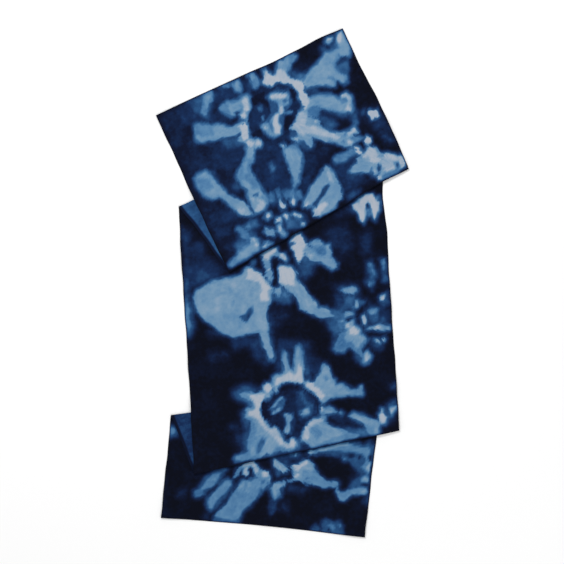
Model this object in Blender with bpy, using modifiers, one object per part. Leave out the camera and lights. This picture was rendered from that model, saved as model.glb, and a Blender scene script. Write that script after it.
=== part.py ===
"""A shibori dyed cloth: one long strip of indigo cotton, laid down in a loose zigzag.

The strip starts at its far end, on top of the pile, and is folded back under itself four times,
so five panels lie on each other. No crease runs straight across the strip, so each panel turns
a little from the one above it. Where a panel reaches past those below, it comes down to the
surface that the cloth lies on.

Frame: metres, +Z up, and the origin at the middle of the cloth's footprint, on the surface.
"""

import math
from collections import namedtuple

import bmesh
import bpy
from mathutils import Vector

# The strip when it lies flat: a narrow loom's width, cut at both ends.
CLOTH_WIDTH = 0.360
CLOTH_LENGTH = 1.225
CLOTH_THICKNESS = 0.0010
HALF_WIDTH = CLOTH_WIDTH / 2

# The first panel runs towards -Y, and leans this far towards +X.
FIRST_LEAN = math.radians(25.1)

# One row for each crease, from the top of the pile down. The distance along the strip is at the
# strip's middle, and a crease with skew meets the left edge further along than the right one.
# The puff is how far the crease holds its two panels apart, beyond what their thickness takes.
Crease = namedtuple("Crease", "name along skew_degrees puff")
CREASES = (
    Crease("below_top_panel", 0.2884, 5.4, 0.0030),
    Crease("above_middle_panel", 0.4026, 16.5, 0.0018),
    Crease("below_middle_panel", 0.9035, 9.1, 0.0026),
    Crease("above_bottom_panel", 1.0018, 13.4, 0.0016),
)
PANELS = ("top", "upper_return", "middle", "lower_return", "bottom")

# How the layers lie on each other, and how far a puff or a step between layers reaches.
LAYER_GAP = 0.0006
LAYER_PITCH = CLOTH_THICKNESS + LAYER_GAP
PUFF_LEVEL = 0.006
PUFF_LENGTH = 0.044
STEP_LEVEL = 0.005
STEP_LENGTH = 0.036

# Places where the cloth stands off what it lies on, one row each: a point of the flat strip, and
# how far round it the cloth is lifted.
Lift = namedtuple("Lift", "panel across along radius height")
LIFTS = (
    Lift("top", -0.180, 0.000, 0.075, 0.0030),
    Lift("top", 0.180, 0.000, 0.090, 0.0022),
    Lift("top", -0.040, 0.000, 0.060, 0.0012),
    Lift("top", 0.180, 0.150, 0.070, 0.0016),
    Lift("middle", -0.180, 0.560, 0.080, 0.0018),
    Lift("middle", -0.180, 0.740, 0.070, 0.0012),
    Lift("middle", 0.180, 0.640, 0.090, 0.0020),
    Lift("middle", 0.180, 0.800, 0.065, 0.0012),
    Lift("bottom", -0.180, 1.225, 0.080, 0.0022),
    Lift("bottom", 0.180, 1.225, 0.085, 0.0028),
    Lift("bottom", 0.020, 1.225, 0.060, 0.0010),
)

# Places where the cloth is pulled out of shape in plan, one row each, so that no edge is quite
# straight: a point of the flat strip, and the pull across and along its panel.
Pull = namedtuple("Pull", "panel across along radius pull_across pull_along")
PULLS = (
    Pull("top", -0.110, 0.000, 0.080, 0.0000, -0.0009),
    Pull("top", 0.043, 0.000, 0.050, 0.0000, 0.0013),
    Pull("top", 0.137, 0.000, 0.045, 0.0000, -0.0020),
    Pull("top", 0.180, 0.170, 0.140, 0.0034, 0.0000),
    Pull("top", 0.180, 0.272, 0.060, 0.0000, 0.0024),
    Pull("middle", -0.180, 0.456, 0.050, 0.0000, 0.0044),
    Pull("middle", -0.180, 0.500, 0.360, -0.0036, 0.0000),
    Pull("middle", 0.180, 0.455, 0.070, -0.0044, 0.0000),
    Pull("middle", 0.180, 0.830, 0.250, 0.0034, 0.0000),
    Pull("bottom", 0.015, 1.225, 0.160, 0.0000, -0.0024),
    Pull("bottom", -0.180, 1.225, 0.050, 0.0000, 0.0016),
)

# How finely the mesh follows the cloth.
COLUMNS = 20
ROW_STEP = 0.0165
CREASE_STEPS = 6

INDIGO = (0.017, 0.035, 0.085, 1.0)
INDIGO_ROUGHNESS = 0.86

# A row of the mesh crosses the strip on a straight line, at this distance along the strip's
# middle and with this slope. In a crease, turn is the angle that it has been bent through.
Row = namedtuple("Row", "along slope panel crease turn")


def ease(distance, level, length):
    """Return 1 up to level, then fall smoothly to 0 over length."""
    share = min(max((distance - level) / length, 0.0), 1.0)
    return 1.0 - share * share * (3.0 - 2.0 * share)


def crease_slope(crease):
    """Return how far a crease moves back along the strip for each metre to the right."""
    return math.tan(math.radians(crease.skew_degrees))


def crease_radius(crease):
    """Return the radius of the bend in a crease, at the middle of the cloth's thickness."""
    return (LAYER_PITCH + crease.puff) / 2


class Panel:
    """Where one panel lies in plan: its origin, the way across it and the way along it."""

    def __init__(self, origin, across, ahead):
        self.origin = origin
        self.across = across
        self.ahead = ahead
        self.corners = []

    def point(self, across, along):
        """Return the point of the plan for a point of the flat strip."""
        return self.origin + self.across * across + self.ahead * along

    def crease_line(self, crease):
        """Return a point of the crease, the way along it, and the way in to the panels."""
        middle = self.point(0.0, crease.along)
        way = (self.across - self.ahead * crease_slope(crease)).normalized()
        inward = -self.ahead - way * way.dot(-self.ahead)
        return middle, way, inward.normalized()

    def folded_at(self, crease):
        """Return the next panel, which is this one turned over at the crease."""
        middle, way, inward = self.crease_line(crease)

        def mirrored(vector):
            return vector - 2.0 * vector.dot(inward) * inward

        origin = middle + mirrored(self.origin - middle)
        return Panel(origin, mirrored(self.across), mirrored(self.ahead))

    def distance_outside(self, point):
        """Return how far a point of the plan is outside this panel's outline, or 0 inside it."""
        nearest = math.inf
        turns = set()
        for start, end in zip(self.corners, self.corners[1:] + self.corners[:1]):
            side = end - start
            offset = point - start
            turns.add(side.cross(offset) > 0.0)
            share = min(max(offset.dot(side) / side.length_squared, 0.0), 1.0)
            nearest = min(nearest, (offset - side * share).length)
        return 0.0 if len(turns) == 1 else nearest


def lay_out_panels():
    """Return the five panels in plan, with their corners."""
    across = Vector((math.cos(FIRST_LEAN), math.sin(FIRST_LEAN)))
    ahead = Vector((math.sin(FIRST_LEAN), -math.cos(FIRST_LEAN)))
    panels = [Panel(Vector((0.0, 0.0)), across, ahead)]
    for crease in CREASES:
        panels.append(panels[-1].folded_at(crease))
    ends = [(crease.along, crease_slope(crease)) for crease in CREASES]
    ends = [(0.0, 0.0)] + ends + [(CLOTH_LENGTH, 0.0)]
    for panel, near, far in zip(panels, ends, ends[1:]):
        for (along, slope), side in ((near, -1), (near, 1), (far, 1), (far, -1)):
            edge = side * HALF_WIDTH
            panel.corners.append(panel.point(edge, along - edge * slope))
    return panels


def puff_at(panels, index, point):
    """Return how much of its puff a crease has at a point of the plan."""
    middle, _, inward = panels[index].crease_line(CREASES[index])
    within = ease((point - middle).dot(inward), PUFF_LEVEL, PUFF_LENGTH)
    outside = panels[index + 1].distance_outside(point)
    return within * ease(outside, STEP_LEVEL, STEP_LENGTH)


def height(panels, index, point):
    """Return the height of the middle of a panel's thickness over a point of the plan."""
    total = CLOTH_THICKNESS / 2
    for below in panels[index + 1:]:
        total += LAYER_PITCH * ease(below.distance_outside(point), STEP_LEVEL, STEP_LENGTH)
    for number in range(index, len(CREASES)):
        total += CREASES[number].puff * puff_at(panels, number, point)
    for lift in LIFTS:
        lifted = PANELS.index(lift.panel)
        if lifted >= index:
            centre = panels[lifted].point(lift.across, lift.along)
            total += lift.height * ease((point - centre).length, 0.0, lift.radius)
    return total


def pulled(panels, point):
    """Return where a point of the plan comes to lie when the pulls are added."""
    moved = point.copy()
    for pull in PULLS:
        panel = panels[PANELS.index(pull.panel)]
        near = ease((point - panel.point(pull.across, pull.along)).length, 0.0, pull.radius)
        moved += (panel.across * pull.pull_across + panel.ahead * pull.pull_along) * near
    return moved


def mesh_rows():
    """Return the rows of the mesh, from the strip's first end to its last."""
    rows = []
    start, start_slope = 0.0, 0.0
    for index in range(len(PANELS)):
        end, end_slope, reach = CLOTH_LENGTH, 0.0, 0.0
        if index < len(CREASES):
            crease = CREASES[index]
            across_crease = crease_radius(crease) / math.cos(math.radians(crease.skew_degrees))
            reach = across_crease * math.pi / 2
            end, end_slope = crease.along, crease_slope(crease)
        steps = math.ceil((end - reach - start) / ROW_STEP)
        for step in range(steps + 1):
            along = start + (end - reach - start) * step / steps
            slope = start_slope + (end_slope - start_slope) * step / steps
            rows.append(Row(along, slope, index, None, 0.0))
        if index < len(CREASES):
            for step in range(1, CREASE_STEPS):
                turn = math.pi * step / CREASE_STEPS
                along = end + across_crease * (turn - math.pi / 2)
                rows.append(Row(along, end_slope, index, crease, turn))
            start, start_slope = end + reach, end_slope
    return rows


def cloth_point(panels, row, across):
    """Return the point in space of a point of the flat strip."""
    panel = panels[row.panel]
    plan = panel.point(across, row.along - across * row.slope)
    if row.crease is None:
        level = height(panels, row.panel, plan)
    else:
        middle, way, inward = panel.crease_line(row.crease)
        foot = middle + way * (plan - middle).dot(way)
        radius = crease_radius(row.crease)
        plan = foot + inward * radius * (math.pi / 2 - math.sin(row.turn))
        above = height(panels, row.panel, plan)
        below = height(panels, row.panel + 1, plan)
        level = (above + below) / 2 + (above - below) / 2 * math.cos(row.turn)
    place = pulled(panels, plan)
    return Vector((place.x, place.y, level))


def indigo_cotton():
    """Return the dyed cotton's material."""
    material = bpy.data.materials.new("indigo_cotton")
    material.use_nodes = True
    shader = material.node_tree.nodes["Principled BSDF"]
    shader.inputs["Base Color"].default_value = INDIGO
    shader.inputs["Roughness"].default_value = INDIGO_ROUGHNESS
    shader.inputs["Metallic"].default_value = 0.0
    return material


def folded_cloth(collection):
    """Make the folded cloth from a flat grid, and give it its thickness."""
    panels = lay_out_panels()
    rows = mesh_rows()
    shape = bmesh.new()
    bmesh.ops.create_grid(shape, x_segments=COLUMNS, y_segments=len(rows) - 1, size=1.0)
    for vertex in shape.verts:
        row = rows[round((1.0 - vertex.co.y) / 2 * (len(rows) - 1))]
        vertex.co = cloth_point(panels, row, vertex.co.x * HALF_WIDTH)
    mesh = bpy.data.meshes.new("dyed_cloth")
    shape.to_mesh(mesh)
    shape.free()
    cloth = bpy.data.objects.new("dyed_cloth", mesh)
    collection.objects.link(cloth)
    cloth.data.materials.append(indigo_cotton())
    cloth.data.shade_smooth()
    thick = cloth.modifiers.new("thickness", "SOLIDIFY")
    thick.thickness = CLOTH_THICKNESS
    thick.offset = 0.0
    thick.use_even_offset = True
    return cloth


def centre_on_origin(cloth):
    """Move the mesh so that the origin is under the middle of its footprint."""
    evaluated = cloth.evaluated_get(bpy.context.evaluated_depsgraph_get())
    corners = [Vector(corner) for corner in evaluated.bound_box]
    low = Vector(map(min, zip(*corners)))
    high = Vector(map(max, zip(*corners)))
    for vertex in cloth.data.vertices:
        vertex.co -= Vector(((low.x + high.x) / 2, (low.y + high.y) / 2, low.z))


def main():
    """Clear the scene and build the cloth."""
    for old in list(bpy.data.objects):
        bpy.data.objects.remove(old, do_unlink=True)
    collection = bpy.data.collections.new("shibori_dyed_cloth")
    bpy.context.scene.collection.children.link(collection)
    centre_on_origin(folded_cloth(collection))


main()
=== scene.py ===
"""Dress the folded shibori cloth: a thin cotton sheet on its solid's folds, dyed in indigo.

The sheet repeats the fold plan of the solid on a finer grid. The dyed pattern is charted on the
flat strip, as outlines of the places that the ties kept the dye from, and each point of the sheet
carries how deep it lies inside one. The material turns that into bleeding edges, pale rays and
white rings.
"""

import logging
import math
from dataclasses import dataclass, field
from enum import Enum
from typing import Any

import bmesh
import bpy
import numpy as np
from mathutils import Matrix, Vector


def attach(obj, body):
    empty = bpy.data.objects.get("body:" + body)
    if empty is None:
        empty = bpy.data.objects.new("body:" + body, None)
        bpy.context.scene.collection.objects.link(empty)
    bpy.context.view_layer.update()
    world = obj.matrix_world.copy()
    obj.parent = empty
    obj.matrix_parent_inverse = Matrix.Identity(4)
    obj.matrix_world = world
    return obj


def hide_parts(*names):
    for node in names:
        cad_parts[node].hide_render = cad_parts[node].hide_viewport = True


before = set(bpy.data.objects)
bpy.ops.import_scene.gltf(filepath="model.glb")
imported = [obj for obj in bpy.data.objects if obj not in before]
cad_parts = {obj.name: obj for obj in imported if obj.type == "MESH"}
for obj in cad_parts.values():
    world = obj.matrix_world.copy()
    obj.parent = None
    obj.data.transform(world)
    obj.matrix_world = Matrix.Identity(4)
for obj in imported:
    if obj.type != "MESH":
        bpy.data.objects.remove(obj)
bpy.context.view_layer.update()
LOG = logging.getLogger("shibori_cloth")

CLOTH_NODE = "dyed_cloth"
SHEET_NAME = "cotton_sheet"
PLAN_UV = "cloth_plan"

MM = 0.001
TINY = 1e-9
STRIP_WIDTH = 0.360
STRIP_LENGTH = 1.225
STRIP_WIDTH_PIXELS = 204.86
LEFT_EDGE, RIGHT_EDGE = -STRIP_WIDTH / 2, STRIP_WIDTH / 2


class Field(Enum):
    """The numbers that each point of the sheet carries for its material."""

    DEPTH = "mark_depth"
    # The tone and the cloud hold painted shade along the creases as well as the dye.
    TONE = "mark_tone_and_crease_shade"
    CLOUD = "ground_cloud_and_crease_shade"
    RAY = "ray_frame"
    FACE = "face_side"


@dataclass(frozen=True)
class Crease:
    """A fold across the strip.

    Args:
        along: distance along the middle of the strip, in metres.
        skew_degrees: how far it turns from square, further along at the left edge.
        puff: how far it holds its two panels apart, beyond their thickness.
    """

    along: float
    skew_degrees: float
    puff: float

    @property
    def slope(self) -> float:
        """Return how far the crease moves back along the strip for each metre to the right."""
        return math.tan(math.radians(self.skew_degrees))


@dataclass(frozen=True)
class Lift:
    """A place of the flat strip where a panel, with what lies on it, stands up a little."""

    panel: int
    across: float
    along: float
    radius: float
    height: float


@dataclass(frozen=True)
class Pull:
    """A place of the flat strip where the cloth is pulled across and along its panel."""

    panel: int
    across: float
    along: float
    radius: float
    pull_across: float
    pull_along: float


@dataclass(frozen=True)
class Wrinkle:
    """A soft ridge, or a trough if its height is negative, between two points of the strip.

    Args:
        start: across and along, in metres.
        end: across and along, in metres.
        reach: half its width, in metres.
        height: in metres.
    """

    start: tuple[float, float]
    end: tuple[float, float]
    reach: float
    height: float


TOP, UPPER_RETURN, MIDDLE, LOWER_RETURN, BOTTOM = range(5)

CREASES = (
    Crease(0.2884, 5.4, 0.0030),
    Crease(0.4026, 16.5, 0.0018),
    Crease(0.9035, 9.1, 0.0026),
    Crease(1.0018, 13.4, 0.0016),
)

LIFTS = (
    Lift(TOP, LEFT_EDGE, 0.000, 0.075, 0.0030),
    Lift(TOP, RIGHT_EDGE, 0.000, 0.090, 0.0022),
    Lift(TOP, -0.040, 0.000, 0.060, 0.0012),
    Lift(TOP, RIGHT_EDGE, 0.150, 0.070, 0.0016),
    Lift(MIDDLE, LEFT_EDGE, 0.560, 0.080, 0.0018),
    Lift(MIDDLE, LEFT_EDGE, 0.740, 0.070, 0.0012),
    Lift(MIDDLE, RIGHT_EDGE, 0.640, 0.090, 0.0020),
    Lift(MIDDLE, RIGHT_EDGE, 0.800, 0.065, 0.0012),
    Lift(BOTTOM, LEFT_EDGE, STRIP_LENGTH, 0.080, 0.0022),
    Lift(BOTTOM, RIGHT_EDGE, STRIP_LENGTH, 0.085, 0.0028),
    Lift(BOTTOM, 0.020, STRIP_LENGTH, 0.060, 0.0010),
)

PULLS = (
    Pull(TOP, -0.110, 0.000, 0.080, 0.0000, -0.0009),
    Pull(TOP, 0.043, 0.000, 0.050, 0.0000, 0.0013),
    Pull(TOP, 0.137, 0.000, 0.045, 0.0000, -0.0020),
    Pull(TOP, RIGHT_EDGE, 0.170, 0.140, 0.0034, 0.0000),
    Pull(TOP, RIGHT_EDGE, 0.272, 0.060, 0.0000, 0.0024),
    Pull(MIDDLE, LEFT_EDGE, 0.456, 0.050, 0.0000, 0.0044),
    Pull(MIDDLE, LEFT_EDGE, 0.500, 0.360, -0.0036, 0.0000),
    Pull(MIDDLE, RIGHT_EDGE, 0.455, 0.070, -0.0044, 0.0000),
    Pull(MIDDLE, RIGHT_EDGE, 0.830, 0.250, 0.0034, 0.0000),
    Pull(BOTTOM, 0.015, STRIP_LENGTH, 0.160, 0.0000, -0.0024),
    Pull(BOTTOM, LEFT_EDGE, STRIP_LENGTH, 0.050, 0.0000, 0.0016),
)

WRINKLES = (
    Wrinkle((-0.170, 0.050), (-0.060, 0.150), 0.016, 0.0005),
    Wrinkle((0.020, 0.020), (0.090, 0.130), 0.020, 0.0006),
    Wrinkle((0.100, 0.060), (0.175, 0.180), 0.014, 0.0005),
    Wrinkle((-0.120, 0.200), (0.010, 0.262), 0.012, -0.0003),
    Wrinkle((-0.150, 0.500), (-0.090, 0.640), 0.018, 0.0006),
    Wrinkle((0.060, 0.520), (0.150, 0.600), 0.016, 0.0006),
    Wrinkle((-0.040, 0.640), (0.060, 0.790), 0.022, 0.0007),
    Wrinkle((-0.175, 0.760), (-0.080, 0.850), 0.014, 0.0005),
    Wrinkle((0.090, 0.700), (0.170, 0.800), 0.016, 0.0006),
    Wrinkle((-0.120, 1.120), (-0.020, 1.200), 0.018, 0.0006),
    Wrinkle((0.060, 1.130), (0.160, 1.210), 0.020, 0.0007),
)


def ease(distance: np.ndarray, level: float, length: float) -> np.ndarray:
    """Return 1 up to level, then a smooth fall to 0 over length.

    Args:
        distance: any array of distances.
        level: where the fall starts.
        length: how long it is.

    Returns:
        An array of the same shape.
    """
    share = np.clip((distance - level) / length, 0.0, 1.0)
    return 1.0 - share * share * (3.0 - 2.0 * share)


def nearness(points: np.ndarray, centre: Any, radius: float) -> np.ndarray:
    """Return 1 at a centre, with a smooth fall to 0 at a radius round it."""
    return ease(np.hypot(*(points - centre).T), 0.0, radius)


def along_segment(points: np.ndarray, start: Any, end: Any) -> tuple[np.ndarray, np.ndarray]:
    """Return how far along a segment each point lies, unclamped, and its distance to the line.

    Args:
        points: an array of shape (n, 2).
        start: the segment's first point.
        end: its last point.

    Returns:
        The share of the segment's length, and the distance to the segment's own line.
    """
    start, side = np.asarray(start, float), np.subtract(end, start).astype(float)
    length = max(float(np.hypot(*side)), TINY)
    offset = points - start
    share = offset @ side / length**2
    return share, np.abs(offset[:, 0] * side[1] - offset[:, 1] * side[0]) / length


def segment_distance(points: np.ndarray, start: Any, end: Any) -> np.ndarray:
    """Return each point's distance to a segment.

    Args:
        points: an array of shape (n, 2).
        start: the segment's first point.
        end: its last point.

    Returns:
        An array of n distances.
    """
    share, _ = along_segment(points, start, end)
    nearest = np.asarray(start) + np.clip(share, 0, 1)[:, None] * np.subtract(end, start)
    return np.hypot(*(points - nearest).T)


def vertex_places(mesh: bpy.types.Mesh) -> np.ndarray:
    """Return where a mesh's vertices are.

    Args:
        mesh: the mesh.

    Returns:
        An array of shape (n, 3).
    """
    places = np.zeros(len(mesh.vertices) * 3)
    mesh.vertices.foreach_get("co", places)
    return places.reshape(-1, 3)


def in_scene(name: str, data: Any) -> bpy.types.Object:
    """Make an object and put it in the scene.

    Args:
        name: its name.
        data: its mesh, light or camera.

    Returns:
        The object.
    """
    made = bpy.data.objects.new(name, data)
    bpy.context.scene.collection.objects.link(made)
    return made


@dataclass
class Panel:
    """Where one panel lies in plan: its origin, the way across it and the way along it."""

    origin: np.ndarray
    across: np.ndarray
    ahead: np.ndarray
    corners: np.ndarray = field(default_factory=lambda: np.zeros((4, 2)))

    def point(self, across: Any, along: Any) -> np.ndarray:
        """Return the points of the plan for points of the flat strip."""
        sideways = np.multiply.outer(across, self.across)
        return self.origin + sideways + np.multiply.outer(along, self.ahead)

    def crease_line(self, crease: Crease) -> tuple[np.ndarray, np.ndarray, np.ndarray]:
        """Return where a crease runs in plan.

        Args:
            crease: the crease, at an end of this panel.

        Returns:
            A point of it, the way along it, and the way in to its two panels.
        """
        way = self.across - self.ahead * crease.slope
        way = way / np.hypot(*way)
        inward = -self.ahead + way * (way @ self.ahead)
        return self.point(0.0, crease.along), way, inward / np.hypot(*inward)

    def folded_at(self, crease: Crease) -> "Panel":
        """Return the next panel, which is this one turned over at a crease.

        Args:
            crease: the crease at this panel's far end.

        Returns:
            The next panel, with its corners still to be set.
        """
        middle, _, inward = self.crease_line(crease)

        def mirrored(vector: np.ndarray) -> np.ndarray:
            """Return a vector turned over at the crease."""
            return vector - 2.0 * (vector @ inward) * inward

        origin = middle + mirrored(self.origin - middle)
        return Panel(origin, mirrored(self.across), mirrored(self.ahead))

    def distance_outside(self, points: np.ndarray) -> np.ndarray:
        """Return how far points are outside this panel's outline.

        Args:
            points: points of the plan, of shape (n, 2).

        Returns:
            An array of n distances, with 0 for the points inside it.
        """
        nearest = np.full(len(points), np.inf)
        turns = np.zeros(len(points))
        for start, end in zip(self.corners, np.roll(self.corners, -1, axis=0)):
            side, offset = end - start, points - start
            turns += np.sign(side[0] * offset[:, 1] - side[1] * offset[:, 0])
            nearest = np.minimum(nearest, segment_distance(points, start, end))
        return np.where(np.abs(turns) > len(self.corners) - 1, 0.0, nearest)


@dataclass
class FoldPlan:
    """The folded strip: where each panel lies, and how high.

    The numbers are those of the solid, and the sheet is only thinner. Puffs are full as far as
    their level from a crease, and the cloth stays up as far as the step level past a lower
    layer's edge. Both then fade over their length.
    """

    width: float = STRIP_WIDTH
    length: float = STRIP_LENGTH
    first_lean_degrees: float = 25.1
    solid_thickness: float = 0.0010
    layer_gap: float = 0.0006
    puff_level: float = 0.006
    puff_length: float = 0.044
    step_level: float = 0.005
    step_length: float = 0.036
    panels: list[Panel] = field(default_factory=list)

    @property
    def half_width(self) -> float:
        """Return half the strip's width."""
        return self.width / 2

    @property
    def pitch(self) -> float:
        """Return the height from one layer to the next."""
        return self.solid_thickness + self.layer_gap

    def radius(self, crease: Crease) -> float:
        """Return the radius of the bend in a crease."""
        return (self.pitch + crease.puff) / 2

    def lay_out(self) -> None:
        """Place the five panels in plan, with their corners."""
        lean = math.radians(self.first_lean_degrees)
        across = np.array((math.cos(lean), math.sin(lean)))
        ahead = np.array((math.sin(lean), -math.cos(lean)))
        self.panels = [Panel(np.zeros(2), across, ahead)]
        for crease in CREASES:
            self.panels.append(self.panels[-1].folded_at(crease))
        ends = [(0.0, 0.0), *((c.along, c.slope) for c in CREASES), (self.length, 0.0)]
        for panel, near, far in zip(self.panels, ends, ends[1:]):
            corners = []
            for (along, slope), side in ((near, -1), (near, 1), (far, 1), (far, -1)):
                edge = side * self.half_width
                corners.append(panel.point(edge, along - edge * slope))
            panel.corners = np.array(corners)

    def height(self, index: int, points: np.ndarray) -> np.ndarray:
        """Return the height of the middle of a panel's thickness.

        Args:
            index: the panel's number, from the top of the pile down.
            points: points of the plan, of shape (n, 2).

        Returns:
            An array of n heights over the surface.
        """
        total = np.full(len(points), self.solid_thickness / 2)
        for below in self.panels[index + 1:]:
            outside = below.distance_outside(points)
            total += self.pitch * ease(outside, self.step_level, self.step_length)
        for number, crease in enumerate(CREASES[index:], index):
            middle, _, inward = self.panels[number].crease_line(crease)
            within = ease((points - middle) @ inward, self.puff_level, self.puff_length)
            outside = self.panels[number + 1].distance_outside(points)
            total += crease.puff * within * ease(outside, self.step_level, self.step_length)
        for lift in LIFTS:
            if lift.panel >= index:
                centre = self.panels[lift.panel].point(lift.across, lift.along)
                total += lift.height * nearness(points, centre, lift.radius)
        return total

    def pulled(self, points: np.ndarray) -> np.ndarray:
        """Return where points come to lie when the pulls are added.

        Args:
            points: points of the plan, of shape (n, 2).

        Returns:
            The moved points, in the same shape.
        """
        moved = points.copy()
        for pull in PULLS:
            panel = self.panels[pull.panel]
            centre = panel.point(pull.across, pull.along)
            shift = panel.across * pull.pull_across + panel.ahead * pull.pull_along
            moved += np.multiply.outer(nearness(points, centre, pull.radius), shift)
        return moved


@dataclass(frozen=True)
class Petal:
    """A place that the tied threads kept the dye from, given by its outline.

    Args:
        tone: how little dye it took, from 0, as dark as the ground, to 1, undyed.
        outline: its corners, as (across, along) in mm on the flat strip, in order round it.
    """

    tone: float
    outline: tuple[tuple[float, float], ...]

    def depth(self, points: np.ndarray) -> np.ndarray:
        """Return how deep points lie inside the outline.

        Args:
            points: (across, along) in mm, of shape (n, 2).

        Returns:
            An array of n depths in mm, less than 0 outside the outline.
        """
        nearest = np.full(len(points), np.inf)
        inside = np.zeros(len(points), bool)
        x, y = points.T
        for (x0, y0), (x1, y1) in zip(self.outline, (*self.outline[1:], self.outline[0])):
            nearest = np.minimum(nearest, segment_distance(points, (x0, y0), (x1, y1)))
            if y0 != y1:
                crossing = x0 + (y - y0) * (x1 - x0) / (y1 - y0)
                inside ^= ((y0 > y) != (y1 > y)) & (x < crossing)
        return np.where(inside, nearest, -nearest)


@dataclass(frozen=True)
class Burst:
    """One tied sun of the pattern, with the marks that were charted for it.

    Args:
        hub: the middle that its rays leave from, as (across, along) in mm.
        halo: how pale the dye is just outside its marks.
        clouds: soft half-dyed patches of the ground.
        marks: crisp marks, each laid over those before it.
    """

    hub: tuple[float, float]
    halo: float
    clouds: tuple[Petal, ...]
    marks: tuple[Petal, ...]


def petals(*rows: tuple) -> tuple[Petal, ...]:
    """Return petals for rows of (tone, corner, corner, ...)."""
    return tuple(Petal(row[0], tuple(row[1:])) for row in rows)


# The big ring on the top panel.
FIRST_CLOUDS = petals(
    (0.09, (-176, 4), (60, 4), (130, 60), (60, 200), (110, 262), (0, 282), (-172, 290)),
    (0.15, (-62, 150), (-45, 128), (-10, 130), (-2, 150), (-10, 200), (-18, 222), (-60, 225),
     (-66, 180)),
    (0.15, (-145, 4), (-20, 4), (-40, 30), (-62, 30), (-72, 46), (-120, 60), (-145, 32)),
    (0.15, (-128, 82), (-95, 90), (-60, 116), (-75, 136), (-100, 152), (-130, 130), (-116, 96)),
    (0.14, (-170, 198), (-130, 200), (-118, 226), (-150, 224), (-172, 212)),
    (0.14, (150, 146), (176, 150), (176, 186), (160, 186), (148, 166)),
    (0.13, (162, 192), (178, 192), (178, 216), (162, 214)),
    (0.16, (60, 216), (100, 216), (112, 246), (94, 262), (62, 262)),
    (0.15, (6, 210), (34, 200), (10, 226), (-8, 234)),
    (0.31, (-119, 2), (-74, 2), (-74, 10), (-92, 40), (-100, 43), (-106, 38), (-114, 22)),
    (0.31, (-60, 2), (-38, 3), (-42, 9), (-58, 8)),
    (0.31, (-95, 90), (-64, 91), (-58, 104), (-62, 112), (-76, 109), (-90, 106)),
    (0.29, (-132, 132), (-127, 134), (-128, 150), (-133, 146)),
    (0.28, (-110, 169), (-100, 168), (-98, 178), (-106, 178)),
    (0.30, (-38, 158), (-31, 158), (-32, 177), (-38, 177)),
    (0.30, (18, 140), (50, 150), (52, 160), (46, 168), (30, 166), (20, 152)),
    (0.31, (143, 57), (155, 52), (163, 58), (158, 68), (150, 73), (144, 70)),
    (0.36, (18, 122), (30, 127), (38, 142), (26, 142), (14, 134)),
    (0.32, (138, 142), (141, 143), (132, 157), (129, 155)),
    (0.32, (148, 148), (153, 147), (154, 152), (149, 153)),
    (0.31, (131, 15), (137, 16), (137, 26), (130, 27)),
    (0.31, (146, 21), (160, 12), (160, 27), (150, 28)),
    (0.32, (70, 112), (80, 104), (96, 117), (112, 127), (122, 142), (110, 134), (86, 118), (98, 146),
     (88, 152), (78, 142)),
    (0.30, (128, 146), (136, 141), (140, 146), (136, 158), (128, 160)),
    (0.27, (12, 68), (22, 68), (24, 80), (10, 90), (-4, 94), (4, 84)),
    (0.28, (-14, 66), (-8, 64), (-6, 70), (-12, 72)),
    (0.24, (-16, 18), (-10, 14), (-10, 32), (-18, 34)),
    (0.31, (60, 24), (68, 20), (67, 31), (82, 40), (94, 44), (76, 53), (68, 46)),
    (0.28, (76, 72), (96, 73), (92, 84), (80, 86)),
    (0.30, (64, 205), (108, 196), (110, 211), (90, 216), (66, 214)),
    (0.25, (165, 203), (169, 203), (176, 214), (172, 216)),
)
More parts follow.
